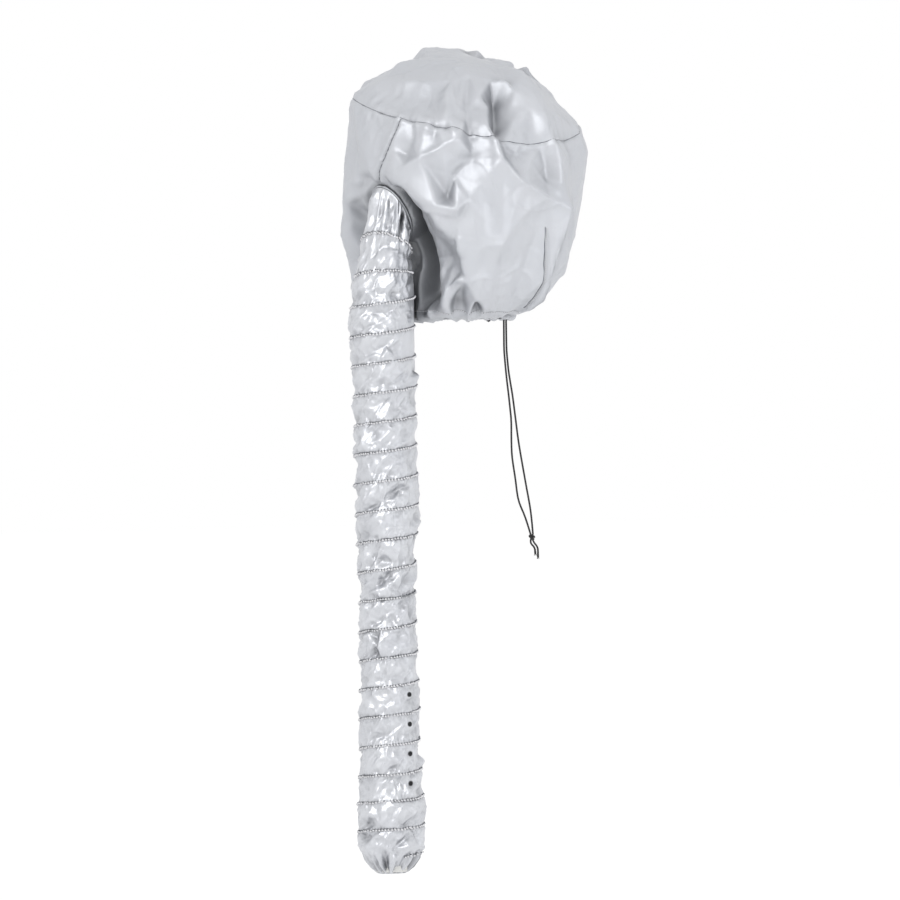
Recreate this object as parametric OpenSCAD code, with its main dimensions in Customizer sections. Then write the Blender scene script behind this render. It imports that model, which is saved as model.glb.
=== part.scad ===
// Soft bonnet hair-drying hood: a gathered satin bonnet with a drawcord, and a
// wire-ribbed fabric hose that slips over the barrel of a hand dryer.
// The origin is the middle of the head opening. +Z is up and the face looks along +Y.

/* [Hood] */
// Radius of the hood at its widest
hood_r = 135; // [110:1:160]
// Height of the crown seam above the hem, on the axis
seam_z = 227; // [190:1:260]
// Height of the crown above its seam
crown_h = 60; // [40:1:85]
// Slope of the crown seam, rise towards the face per unit length
seam_slope = 0.22; // [0:0.01:0.3]
// Thickness of the coated satin, drawn as one closed layer
fabric_t = 0.8; // [0.5:0.1:1.2]
// Width of the bound seam allowances inside the hood
tape_w = 6; // [4:0.5:10]

/* [Head opening] */
// Radius of the relaxed hem, to the middle of its channel
hem_r = 50; // [42:1:70]
// Height of the hem channel
hem_h = 14; // [12:0.5:20]
// Depth of the hem channel, from the outside to the inside of the ring
hem_w = 9; // [8:0.5:12]

/* [Hose port] */
// Height of the top of the port collar above the hem
port_top_z = 146; // [130:1:160]
// How far the top of the port collar lies inside the hood's widest radius
port_inset = 9; // [7:1:15]
// Lean of the port, its lower edge set in towards the axis
port_tilt = 30; // [22:1:35]
// Width of the collar's flat ring
collar_w = 4; // [3:0.5:6]

/* [Hose] */
// Outer radius of the hose between its ribs
hose_r = 33; // [28:0.5:36]
// Height of the ribs above the fabric between them
rib_h = 1.4; // [0.8:0.1:2]
// Distance between one rib and the next
rib_pitch = 33; // [28:0.5:40]
// Ribs on the upper sleeve
upper_ribs = 9; // [6:1:12]
// Ribs on the lower sleeve
lower_ribs = 8; // [6:1:10]
// How far the axis of the straight hose's top lies inside the hood's widest radius
hose_inset = 13; // [3:1:15]
// Height of the top of the straight hose
hose_top_z = 30; // [24:1:40]
// Lean of the hanging hose towards the hood's axis
hose_lean = 1.1; // [0:0.1:1.5]
// Thickness of the spring wire
wire_d = 1.6; // [1.2:0.1:2.4]

/* [Dryer cuff] */
// Length of the cuff, down to its hem
cuff_l = 82; // [70:1:110]
// Bore of the relaxed elastic mouth
mouth_d = 32; // [26:1:44]
// Height of the cuff hem
cuff_hem_h = 10; // [9:0.5:16]
// Depth of the cuff hem, from the outside to the bore
cuff_hem_w = 5; // [4:0.5:7]

/* [Vent eyelets] */
// Outer diameter of an eyelet
eyelet_d = 5.4; // [4:0.2:8]
// Hole through an eyelet
eyelet_hole_d = 2.8; // [2:0.2:3.4]
// Number of eyelets
eyelets = 4; // [1:1:6]

/* [Drawcord] */
// Diameter of the drawcord
cord_d = 2.2; // [1.6:0.2:3]
// Diameter of the knot
knot_d = 8.5; // [7:0.5:11]

/* [Hidden] */

// The top of the port collar and the top of the straight hose, from the hood's axis
port_top_x = hood_r - port_inset;
hose_x = hood_r - hose_inset;

$fn = 64;

// Colours
satin = [0.80, 0.82, 0.84];
foil = [0.84, 0.86, 0.88];
tape = [0.72, 0.74, 0.77];
thread = [0.93, 0.93, 0.94];
steel = [0.55, 0.56, 0.58];
black = [0.08, 0.08, 0.09];

// Clearance between neighbouring soft pieces
gap = 0.3;
// Columns and rows of the hood's mesh
columns = 48;
low_rows = 3;
port_rows = 4;
high_rows = 3;
band_rows = low_rows + port_rows + high_rows;
crown_rows = 5;
column = 360 / columns;

// ---- The hood's surface ----

// The hood is fuller towards the face than towards the nape, this much of its radius
lean_full = 0.03;
// The hood bulges over its crown seam: how far the seam is drawn in
seam_tuck = 0.03;
hem_top = hem_h / 2 + gap;

function crown_plane(y) = seam_z + seam_slope * y;

// The hood is at its widest from this share of the way up to its seam, and swells out to it by this power
widest_v = 0.75;
swell_power = 0.45;
// Its wall turns in to the seam from this share up
shoulder_v = 0.85;
// It is fullest at this angle, and the fullness ends where this many times the share is 1
fullest_a = 130;
full_rate = 1.15;
// On its slack side, at this angle, it is at its widest sooner and swells out faster
slack_a = 140;
slack_widest = 0.3;
slack_power = 0.28;
function slack(a) = 0.5 + 0.5 * cos(a - slack_a);
function swell(a, v) =
    pow(sin(90 * min(1, v / (widest_v - slack_widest * slack(a)))), swell_power - slack_power * slack(a));
function shoulder(v) = 1 - seam_tuck * pow(max(0, (v - shoulder_v) / (1 - shoulder_v)), 2);
function fuller(a, v) = 1 + lean_full * cos(a - fullest_a) * sin(180 * min(1, v * full_rate));
// Radius of the round hood, without the furrow, at the share v of the way from hem to seam
function round_r(a, v) = (hem_r + (hood_r - hem_r) * swell(a, v)) * shoulder(v) * fuller(a, v);

// Room between the hanging hose and the furrow's floor
furrow_clearance = 10;
// The furrow that the hose hangs in: how far in its floor lies, and how wide it is
floor_r = hose_x - hose_r - rib_h - furrow_clearance;
// Angle over which the furrow's side rises to the round hood
furrow_side = 12;
// Half the furrow's width at the top of the port, and how fast it widens below
furrow_top_half = 18.5;
furrow_spread = 5;
// The furrow runs out from this far above the port, over this height
furrow_above = 12;
furrow_fade = 8;
function furrow_floor(z) = max(floor_r, port_top_x - (port_top_z - z) * tan(port_tilt));
function furrow_half(z) = furrow_top_half + furrow_spread * sqrt(max(0, port_top_z - z));
function smooth(t) = let (c = min(1, max(0, t))) c * c * (3 - 2 * c);
function away(a) = abs(((a - 180) % 360 + 540) % 360 - 180);
// 1 on the furrow's flat floor, 0 outside the furrow
function furrow(a, z) =
    let (half = atan(furrow_half(z) / furrow_floor(z)))
    (1 - smooth((away(a) - half) / furrow_side))
    * smooth((port_top_z + furrow_above - z) / furrow_fade);
function dented(a, v, z) =
    let (r = round_r(a, v), side = min(60, away(a)))
    r - max(0, r - furrow_floor(z) / cos(side)) * furrow(a, z);

// A point on the side band, at the angle a and the share v from hem to seam, moved in by inset
function seam_point_z(a) = crown_plane(round_r(a, 1) * sin(a));
function band_z(a, v) = hem_top + v * (seam_point_z(a) - hem_top);
// Near the hem the band runs flat, so its thickness turns from across to upright
upright_a = 70;
upright_v = 0.12;
function upright(v) = upright_a * max(0, 1 - v / upright_v);
function band_point(a, v, inset) =
    let (z = band_z(a, v), r = dented(a, v, z) - inset * cos(upright(v)))
    [r * cos(a), r * sin(a), z + inset * sin(upright(v))];
function band_v(a, z) = (z - hem_top) / (seam_point_z(a) - hem_top);
// The band's rows: closer together near the hem, with one at each end of the flat round the port
flat_low_v = band_v(180, port_top_z - (port_top_x - floor_r) / tan(port_tilt));
flat_high_v = band_v(180, port_top_z + 3);
function row_v(j) =
    j <= low_rows ? flat_low_v * pow(j / low_rows, 1.5) :
    j <= low_rows + port_rows ? flat_low_v + (flat_high_v - flat_low_v) * (j - low_rows) / port_rows :
    flat_high_v + (1 - flat_high_v) * (j - low_rows - port_rows) / high_rows;

// A point on the band's flat faces, between its rows and columns
function mix(p, q, t) = p + t * (q - p);
function row_under(v) = max([for (j = [0 : band_rows - 1]) if (row_v(j) <= v) j]);
// A point along the row j, between the columns on each side of the angle a
function row_point(a, j, inset) =
    let (i = floor(a / column))
    mix(band_point(i * column, row_v(j), inset), band_point((i + 1) * column, row_v(j), inset),
        a / column - i);
function face_point(a, v, inset) =
    let (j = row_under(v), t = (v - row_v(j)) / (row_v(j + 1) - row_v(j)))
    mix(row_point(a, j, inset), row_point(a, j + 1, inset), t);
// The rows from v0 to v1, with the band's own rows that lie between them
function lies_between(v, v0, v1) = v > v0 + 0.001 && v < v1 - 0.001;
function rows_between(v0, v1) =
    concat([v0], [for (j = [0 : band_rows]) if (lies_between(row_v(j), v0, v1)) row_v(j)], [v1]);

// A point on the crown, at the angle a and the share t from the seam to the middle
dome_power = 2.3;
function crown_point(a, t, inset) =
    let (rim = round_r(a, 1), share = 1 - t, r = (rim - inset) * share,
         z = crown_plane(rim * share * sin(a)) + (crown_h - inset) * (1 - pow(share, dome_power)))
    [r * cos(a), r * sin(a), z];

// ---- Solids from grids of points ----

// A closed solid between two grids of points, each cols wide and rows high. wrap joins the
// last column to the first. cap holds the outer and inner middle points that close the top.
module grid_solid(outer, inner, cols, rows, wrap, cap = []) {
    shift = cols * rows;
    last = wrap ? cols : cols - 1;
    top = (rows - 1) * cols;
    hub = 2 * shift;
    skin = [for (j = [0 : rows - 2]) for (i = [0 : last - 1])
        let (k = (i + 1) % cols) [j * cols + i, j * cols + k, (j + 1) * cols + k, (j + 1) * cols + i]];
    sides = wrap ? [] : concat(
        [for (j = [0 : rows - 2]) [(j + 1) * cols - 1, (j + 2) * cols - 1]],
        [for (j = [rows - 2 : -1 : 0]) [(j + 1) * cols, j * cols]]);
    edge = concat(
        [for (i = [0 : last - 1]) [i, (i + 1) % cols]],
        [for (i = [last - 1 : -1 : 0]) if (len(cap) == 0) [top + (i + 1) % cols, top + i]],
        sides);
    lids = len(cap) == 0 ? [] : [for (i = [0 : cols - 1])
        let (k = (i + 1) % cols)
        each [[hub, top + k, top + i], [hub + 1, shift + top + i, shift + top + k]]];
    faces = concat(
        [for (q = skin) each [[q[2], q[1], q[0]], [q[3], q[2], q[0]]]],
        [for (q = skin) each [
            [q[0] + shift, q[1] + shift, q[2] + shift],
            [q[0] + shift, q[2] + shift, q[3] + shift]]],
        [for (e = edge) each [[e[0], e[1], e[1] + shift], [e[0], e[1] + shift, e[0] + shift]]],
        lids);
    polyhedron(points = concat(outer, inner, cap), faces = faces, convexity = 6);
}

// A patch that lies on the side band's faces, between two angles and two heights. Its top is
// turned by lean from its foot.
module band_patch(a0, a1, cols, v0, v1, out, in, lean = 0) {
    wrap = a1 - a0 >= 360;
    step = (a1 - a0) / (wrap ? cols : cols - 1);
    rows = rows_between(v0, v1);
    grid_solid(
        [for (v = rows) for (i = [0 : cols - 1])
            face_point(a0 + i * step + lean * (v - v0) / (v1 - v0), v, out)],
        [for (v = rows) for (i = [0 : cols - 1])
            face_point(a0 + i * step + lean * (v - v0) / (v1 - v0), v, in)],
        cols, len(rows), wrap);
}

// A closed tube through rings of points, each with the same number of sides
module ring_tube(rings) {
    sides = len(rings[0]);
    n = len(rings);
    points = [for (r = rings) each r];
    walls = [for (j = [0 : n - 2]) for (i = [0 : sides - 1])
        let (k = (i + 1) % sides, a = j * sides, b = (j + 1) * sides)
        each [[a + i, b + k, a + k], [a + i, b + i, b + k]]];
    near = [for (i = [1 : sides - 2]) [0, i, i + 1]];
    far = [for (i = [1 : sides - 2]) [(n - 1) * sides, (n - 1) * sides + i + 1, (n - 1) * sides + i]];
    polyhedron(points = points, faces = concat(walls, near, far), convexity = 8);
}

// ---- Hood ----

module crown_panel() {
    // The crown's rows stand closer together near its seam, where it curves most
    last_row = 0.88;
    function crown_row(j) = last_row * pow(j / crown_rows, 1.2);
    color(satin)
    grid_solid(
        [for (j = [0 : crown_rows]) for (i = [0 : columns - 1]) crown_point(i * column, crown_row(j), 0)],
        [for (j = [0 : crown_rows]) for (i = [0 : columns - 1])
            crown_point(i * column, crown_row(j), fabric_t)],
        columns, crown_rows + 1, true, [crown_point(0, 1, 0), crown_point(0, 1, fabric_t)]);
}

module side_band() {
    color(satin)
    difference() {
        grid_solid(
            [for (j = [0 : band_rows]) for (i = [0 : columns - 1]) band_point(i * column, row_v(j), 0)],
            [for (j = [0 : band_rows]) for (i = [0 : columns - 1])
                band_point(i * column, row_v(j), fabric_t)],
            columns, band_rows + 1, true);
        port_frame() cylinder(r = port_hole_r, h = 30, center = true);
    }
}

tape_t = 0.8;

module crown_seam_tape() {
    color(tape)
    band_patch(0, 360, columns, 1 - tape_w / (seam_z - hem_top), 0.995,
        fabric_t + gap, fabric_t + gap + tape_t);
}

// The side seam climbs from the port to the crown seam, and leans towards the nape
side_seam_lean = 14;

module side_seam_tape() {
    half = 0.5 * tape_w / hood_r * 180 / PI;
    color(tape)
    band_patch(182 - half, 182 + half, 2, band_v(180, port_top_z + 12), 0.96,
        fabric_t + gap, fabric_t + gap + tape_t, side_seam_lean);
}

// The placket covers the drawcord's way down the nape
placket_a = 279;
placket_lean = -4.5;
placket_w = 18;
placket_top_z = 98;
placket_t = 0.6;
placket_foot_v = 0.03;
thread_d = 0.6;

module nape_placket() {
    color(satin)
    band_patch(placket_a + 0.6, placket_a + placket_w / hood_r * 180 / PI, 4,
        placket_foot_v, band_v(placket_a, placket_top_z),
        -gap - placket_t, -gap, placket_lean);
}

module placket_stitching() {
    color(thread)
    band_patch(placket_a - thread_d / 2, placket_a, 2,
        placket_foot_v, band_v(placket_a, placket_top_z),
        -gap - thread_d, -gap, placket_lean);
}

// The hem stitching runs this share of the way up the band
hem_stitch_v = 0.012;

// The band curves most at the hem, so its stitching stands this much further off
hem_stitch_room = 0.2;

module hem_stitching() {
    off = gap + hem_stitch_room;
    color(thread)
    band_patch(0, 360, columns, hem_stitch_v, hem_stitch_v + 0.004, -off - thread_d, -off);
}

// ---- Head opening ----

// The drawcord leaves the hem channel at this angle, beside the placket
cord_exit_a = 288;
cord_exit_d = 6.4;
cord_exit = [hem_r * cos(cord_exit_a), hem_r * sin(cord_exit_a)];

module hem_channel() {
    color(satin)
    difference() {
        rotate_extrude($fn = 96)
            translate([hem_r, 0])
                difference() {
                    square([hem_w, hem_h], center = true);
                    square([hem_w - 2 * fabric_t, hem_h - 2 * fabric_t], center = true);
                }
        translate([cord_exit[0], cord_exit[1], -hem_h / 2])
            cylinder(d = cord_exit_d, h = 4, center = true);
    }
}

// The drawcord lies on the floor of the hem channel
drawcord_z = -hem_h / 2 + fabric_t + gap + cord_d / 2;

module hem_drawcord() {
    open = (cord_exit_d / 2 + 0.2) / hem_r * 180 / PI;
    color(black)
    rotate([0, 0, cord_exit_a + open])
        rotate_extrude(angle = 360 - 2 * open, $fn = 96)
            translate([hem_r, drawcord_z])
                circle(d = cord_d, $fn = 24);
}

// ---- Hose port ----

collar_t = 2.5;
// The collar stands this far off the band, and the neck starts on the collar
port_gap = 1;
neck_gap = port_gap + collar_t + gap;
collar_r = hose_r + gap + collar_w;
port_hole_r = hose_r - 3;
port_x = port_top_x - collar_r * sin(port_tilt);
port_z = port_top_z - collar_r * cos(port_tilt);

// The port's frame: the middle of the port, with Z along the way out of the hood
module port_frame() {
    translate([-port_x, 0, port_z])
        rotate([0, -90 - port_tilt, 0])
            children();
}

module port_collar() {
    color(satin)
    port_frame()
        translate([0, 0, port_gap])
            rotate_extrude($fn = 96)
                translate([hose_r + gap, 0])
                    square([collar_w, collar_t]);
}

// ---- Hose ----

upper_l = upper_ribs * rib_pitch;
lower_l = lower_ribs * rib_pitch;
hose_l = upper_l + lower_l;
hose_bore_r = hose_r - fabric_t;

// The hanging hose's frame: the middle of its top end, with the hose running down -Z
module hose_frame() {
    translate([-hose_x, 0, hose_top_z])
        rotate([0, -hose_lean, 0])
            children();
}

// A ring round a middle point [x, z], across the way [x, z], at the radius r and the angle a
function ring_point(middle, way, a, r) =
    [middle[0] - r * cos(a) * way[1], r * sin(a), middle[1] + r * cos(a) * way[0]];
port_way = [-cos(port_tilt), -sin(port_tilt)];
hose_way = [sin(hose_lean), -cos(hose_lean)];
// The neck falls straight from the port's ring to the top of the hanging hose
function neck_point(t, a, r) =
    mix(ring_point([-port_x, port_z] + neck_gap * port_way, port_way, a, r),
        ring_point([-hose_x, hose_top_z], hose_way, a, r), t);
neck_sides = 32;
neck_rings = 9;

module hose_neck() {
    color(foil)
    grid_solid(
        [for (j = [0 : neck_rings - 1]) for (i = [0 : neck_sides - 1])
            neck_point(j / (neck_rings - 1), i * 360 / neck_sides, hose_r)],
        [for (j = [0 : neck_rings - 1]) for (i = [0 : neck_sides - 1])
            neck_point(j / (neck_rings - 1), i * 360 / neck_sides, hose_bore_r)],
        neck_sides, neck_rings, true);
}

// Turns of wire in the neck, between these shares of its length
neck_turns = 3;
neck_wire_from = 0.06;
neck_wire_to = 0.94;
neck_wire_gap = 0.95;

module neck_wire() {
    steps = 16 * neck_turns;
    r = hose_bore_r - wire_d / 2 - neck_wire_gap;
    function along(a) = 0.5 * wire_d / norm(neck_point(1, a, r) - neck_point(0, a, r));
    color(steel)
    ring_tube([for (k = [0 : steps])
        let (t = mix(neck_wire_from, neck_wire_to, k / steps), a = 360 * neck_turns * k / steps)
        [for (s = [0 : 5])
            neck_point(t + along(a) * sin(-60 * s), a, r + 0.5 * wire_d * cos(60 * s))]]);
}

// The ribs are one right-handed winding. It passes the +X side of the hose this far below its top.
rib_start = 6;
function rib_angle(z) = 360 * (z + rib_start) / rib_pitch;
rib_w = 5;
// The rib's flat steps stand this far off the round sleeve
rib_gap = 0.6;
rib_steps = 20;
wire_steps = 16;

// A winding on the hose from z = top down to z = top - l, of the given section [[r, z], ...]
module winding(top, l, steps, section) {
    turns = l / rib_pitch;
    n = round(turns * steps);
    ring_tube([for (k = [0 : n])
        let (z = top - l * k / n, a = rib_angle(z))
        [for (p = section) [p[0] * cos(a), p[0] * sin(a), z + p[1]]]]);
}
wire_section = [for (s = [0 : 5])
    [hose_bore_r - gap - wire_d / 2 + 0.5 * wire_d * cos(60 * s), 0.5 * wire_d * sin(60 * s)]];
rib_section = [
    [hose_r + rib_gap, -rib_w / 2], [hose_r + rib_h, -rib_w / 4],
    [hose_r + rib_h, rib_w / 4], [hose_r + rib_gap, rib_w / 2]
];

module sleeve(l) {
    difference() {
        cylinder(r = hose_r, h = l);
        translate([0, 0, -1])
            cylinder(r = hose_bore_r, h = l + 2);
    }
}

module hose_sleeve_upper() {
    color(foil)
    hose_frame()
        translate([0, 0, -upper_l])
            sleeve(upper_l);
}

module hose_wire_upper() {
    color(steel)
    hose_frame()
        winding(-wire_d, upper_l - 2 * wire_d, wire_steps, wire_section);
}

module wire_casing_upper() {
    color(thread)
    hose_frame()
        winding(-rib_w / 2, upper_l - rib_w, rib_steps, rib_section);
}

module hose_sleeve_lower() {
    color(foil)
    hose_frame()
        difference() {
            translate([0, 0, -hose_l])
                sleeve(lower_l);
            eyelet_places()
                cylinder(d = eyelet_neck_d + 2 * eyelet_fit, h = 12, center = true);
        }
}

module hose_wire_lower() {
    color(steel)
    hose_frame()
        winding(-upper_l - wire_d, lower_l - 2 * wire_d, wire_steps, wire_section);
}

module wire_casing_lower() {
    color(thread)
    hose_frame()
        winding(-upper_l - rib_w / 2, lower_l - rib_w, rib_steps, rib_section);
}

// ---- Vent eyelets ----

// The eyelets stand in a row on the nape side, one to a turn, this far above the cuff
eyelet_a = 273;
eyelet_up = 8.5;
eyelet_fit = 0.1;
eyelet_neck_d = eyelet_hole_d + 0.8;
flange_t = 0.6;

// Each eyelet's frame: on the sleeve's outside, with Z outwards
module eyelet_places() {
    for (k = [0 : eyelets - 1])
        rotate([0, 0, eyelet_a])
            translate([hose_r, 0, -hose_l + eyelet_up + k * rib_pitch])
                rotate([0, 90, 0])
                    children();
}

module vent_eyelets() {
    color(black)
    hose_frame()
        eyelet_places()
            difference() {
                union() {
                    translate([0, 0, gap / 2])
                        cylinder(d = eyelet_d, h = flange_t);
                    translate([0, 0, -fabric_t - 0.4])
                        cylinder(d = eyelet_neck_d, h = fabric_t + 0.4 + gap);
                }
                cylinder(d = eyelet_hole_d, h = 12, center = true);
            }
}

// ---- Dryer cuff ----

mouth_r = mouth_d / 2;
hem_outer_r = mouth_r + cuff_hem_w;
elastic_t = 1.2;

module cuff_frame() {
    hose_frame()
        translate([0, 0, -hose_l])
            children();
}

// The cuff's outside falls straight, then gathers in to the hem. Each row holds how far the
// wall stands off the hose's radius and the share of the cuff's length.
cuff_profile = [[rib_h, 0.35], [rib_h, 0.78], [0, 0.89], [-4, 0.95]];
function cuff_wall(inset) = concat(
    [[hose_r - inset, -gap / 2]],
    [for (p = cuff_profile) [hose_r + p[0] - inset, -p[1] * cuff_l]],
    [[hem_outer_r - inset, -cuff_l + gap]]
);

module cuff_sleeve() {
    outer = cuff_wall(0);
    inner = cuff_wall(fabric_t);
    color(foil)
    cuff_frame()
        rotate_extrude($fn = 96)
            polygon(concat(outer, [for (i = [len(inner) - 1 : -1 : 0]) inner[i]]));
}

// The casing's winding runs on over the cuff, from this far below its top over this length
cuff_row_top = 10;
cuff_row_l = 42;
cuff_row_r = hose_r + rib_h + rib_gap;

module cuff_stitching() {
    color(thread)
    hose_frame()
        winding(-hose_l - cuff_row_top, cuff_row_l, rib_steps, [
            [cuff_row_r, -rib_w / 2], [cuff_row_r + rib_h / 2, -rib_w / 4],
            [cuff_row_r + rib_h / 2, rib_w / 4], [cuff_row_r, rib_w / 2]
        ]);
}

module cuff_hem() {
    color(foil)
    cuff_frame()
        translate([0, 0, -cuff_l - cuff_hem_h])
            difference() {
                cylinder(r = hem_outer_r, h = cuff_hem_h, $fn = 96);
                translate([0, 0, -1])
                    cylinder(r = mouth_r, h = cuff_hem_h + 2, $fn = 96);
                translate([0, 0, fabric_t])
                    rotate_extrude($fn = 96)
                        translate([mouth_r + fabric_t, 0])
                            square([cuff_hem_w - 2 * fabric_t, cuff_hem_h - 2 * fabric_t]);
            }
}

module cuff_elastic() {
    color("white")
    cuff_frame()
        translate([0, 0, -cuff_l - cuff_hem_h + fabric_t + gap])
            rotate_extrude($fn = 96)
                translate([mouth_r + fabric_t + gap, 0])
                    square([elastic_t, cuff_hem_h - 2 * fabric_t - 2 * gap]);
}

// ---- Drawcord ----

// The drawcord's frame: its exit from the hem channel, with X along the way that the cord leans
cord_turn = -40;
// The strands start this far above the channel's floor, clear of the cord that lies in it
cord_top_z = -hem_h / 2 + fabric_t + cord_d + 0.4;
knot_place = [30, 0, -250];
// The knot is tied flat where the strands and the tails meet it
knot_flat = 3.2;
strand_side = cord_d / 2 + 0.2;
strand_left = [
    [-strand_side, 0, cord_top_z], [-strand_side, 0, -12], [-1.2, 0, -25], [-1, 0, -40],
    [-0.1, 0, -52], [1, 0, -64], [2.5, 0, -78], [4, 0, -90], [5.6, 0, -105], [7, 0, -120],
    [7.2, 0, -142], [8, 0, -160], [11.5, 0, -184], [15, 0, -208], [22, 0, -226], [26, 0, -238],
    [knot_place[0] - strand_side, 0, knot_place[2] + knot_flat]
];
strand_right = [
    [strand_side, 0, cord_top_z], [strand_side, 0, -12], [1.5, 0, -25], [1.8, 0, -40],
    [2.8, 0, -52], [4, 0, -64], [6.2, 0, -78], [8.5, 0, -92], [11.5, 0, -115], [15, 0, -142],
    [19, 0, -166], [21.5, 0, -180], [24, 0, -194], [28, 0, -216], [30, 0, -232],
    [knot_place[0] + strand_side, 0, knot_place[2] + knot_flat]
];
tail_left = [
    [knot_place[0] - strand_side, 0, knot_place[2] - knot_flat], [knot_place[0] - 0.8, 0.6, -257],
    [33, 1, -262], [34, 1.4, -268]
];
tail_right = [
    [knot_place[0] + strand_side, 0, knot_place[2] - knot_flat], [knot_place[0] + 2.6, 0, -256],
    [36.5, 0, -262], [37, 0, -272]
];

module cord_frame() {
    translate([cord_exit[0], cord_exit[1], 0])
        rotate([0, 0, cord_turn])
            children();
}

// A round cord through points, its rings level
module cord_through(points) {
    ring_tube([for (p = points)
        [for (s = [0 : 7]) p + 0.5 * cord_d * [cos(45 * s), sin(45 * s), 0]]]);
}

module drawcord_left() {
    color(black)
    cord_frame()
        cord_through(strand_left);
}

module drawcord_right() {
    color(black)
    cord_frame()
        cord_through(strand_right);
}

module drawcord_knot() {
    color(black)
    cord_frame()
        translate(knot_place)
            intersection() {
                sphere(d = knot_d, $fn = 48);
                cube([knot_d + 2, knot_d + 2, 2 * knot_flat], center = true);
            }
}

module drawcord_tail_left() {
    color(black)
    cord_frame()
        cord_through(tail_left);
}

module drawcord_tail_right() {
    color(black)
    cord_frame()
        cord_through(tail_right);
}

crown_panel();
side_band();
crown_seam_tape();
side_seam_tape();
nape_placket();
placket_stitching();
hem_stitching();
hem_channel();
hem_drawcord();
port_collar();
hose_neck();
neck_wire();
hose_sleeve_upper();
hose_wire_upper();
wire_casing_upper();
hose_sleeve_lower();
hose_wire_lower();
wire_casing_lower();
vent_eyelets();
cuff_sleeve();
cuff_stitching();
cuff_hem();
cuff_elastic();
drawcord_left();
drawcord_right();
drawcord_knot();
drawcord_tail_left();
drawcord_tail_right();
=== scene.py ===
import math

import bpy
import numpy as np
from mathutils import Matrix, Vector, geometry


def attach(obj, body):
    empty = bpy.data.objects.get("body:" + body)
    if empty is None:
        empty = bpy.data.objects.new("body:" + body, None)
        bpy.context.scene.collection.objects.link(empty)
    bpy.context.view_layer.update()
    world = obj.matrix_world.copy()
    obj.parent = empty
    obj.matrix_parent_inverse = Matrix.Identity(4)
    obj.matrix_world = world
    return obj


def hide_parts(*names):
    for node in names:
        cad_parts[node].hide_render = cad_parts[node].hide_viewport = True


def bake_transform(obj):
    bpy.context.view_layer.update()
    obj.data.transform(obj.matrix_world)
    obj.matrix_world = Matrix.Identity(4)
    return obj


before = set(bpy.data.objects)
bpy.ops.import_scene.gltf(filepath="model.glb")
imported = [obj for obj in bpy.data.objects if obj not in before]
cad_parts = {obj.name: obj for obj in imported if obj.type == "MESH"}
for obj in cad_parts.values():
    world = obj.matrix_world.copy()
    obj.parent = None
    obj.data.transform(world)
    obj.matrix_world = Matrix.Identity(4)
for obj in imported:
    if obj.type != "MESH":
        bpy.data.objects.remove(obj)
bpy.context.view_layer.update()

bl_info = {
    "name": "Drying hood",
    "version": (1, 0, 0),
    "blender": (4, 5, 0),
    "location": "3D View > Sidebar > Drying hood",
    "description": "Makes a soft silvery drying hood with its ribbed hose and drawcord",
    "category": "Object",
}

MM = 0.001

# The hood, in metres and degrees. The origin is the middle of the head opening, and the
# angle runs round +Z from +X. The hose side is at 180 degrees, the nape at 270.
HEM_RADIUS = 50 * MM
HOOD_RADIUS = 135 * MM
HEM_HEIGHT = 14 * MM
HEM_WIDTH = 9 * MM
HEM_TOP = 7.3 * MM
SEAM_Z = 227 * MM
SEAM_SLOPE = 0.22
# The crown seam sags this far over the nape, most at this angle
SEAM_SAG = 8 * MM
SEAM_SAG_ANGLE = 266
CROWN_HEIGHT = 60 * MM
CROWN_DOME = 2.3
HEAD_MIDDLE_Z = 120 * MM
# The port, where the hose is sewn in, and the furrow below it that the hose hangs in
PORT_TOP_Z = 146 * MM
PORT_TOP_X = 126 * MM
PORT_TILT = math.radians(30)
PORT_HOLE = 30 * MM
COLLAR_RADIUS = 37.3 * MM
PORT = Vector((
    -(PORT_TOP_X - COLLAR_RADIUS * math.sin(PORT_TILT)), 0,
    PORT_TOP_Z - COLLAR_RADIUS * math.cos(PORT_TILT)))
PORT_OUT = Vector((-math.cos(PORT_TILT), 0, -math.sin(PORT_TILT)))
PORT_GAP = 1 * MM
# The neck starts on the port's ring
NECK_GAP = 3.8 * MM
FURROW_FLOOR = 77.6 * MM
FURROW_SIDE = 12
# The hose: its length runs down from its top end, and is negative in the neck above
HOSE_RADIUS = 33 * MM
HOSE_TOP = Vector((-122 * MM, 0, 30 * MM))
HOSE_LEAN = math.radians(1.1)
RIB_PITCH = 33 * MM
RIB_START = 6 * MM
HOSE_LENGTH = 17 * RIB_PITCH
CUFF_LENGTH = 82 * MM
CUFF_HEM = 10 * MM
WIRE_DIAMETER = 1.6 * MM
EYELET_ANGLE = 273
EYELET_UP = 8.5 * MM
EYELETS = 4
# Painted shade: the dark hole seen through an eyelet is a dark disc of this radius
VENT_RADIUS = 2.1 * MM
# The drawcord leaves the hem beside the placket and hangs at this turn of its own frame
CORD_EXIT_ANGLE = math.radians(288)
CORD_DIAMETER = 2.2 * MM
CORD_TURN = math.radians(-40)
CORD_TOP = -3.6
KNOT_PLACE = (30, 0, -250)
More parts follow.
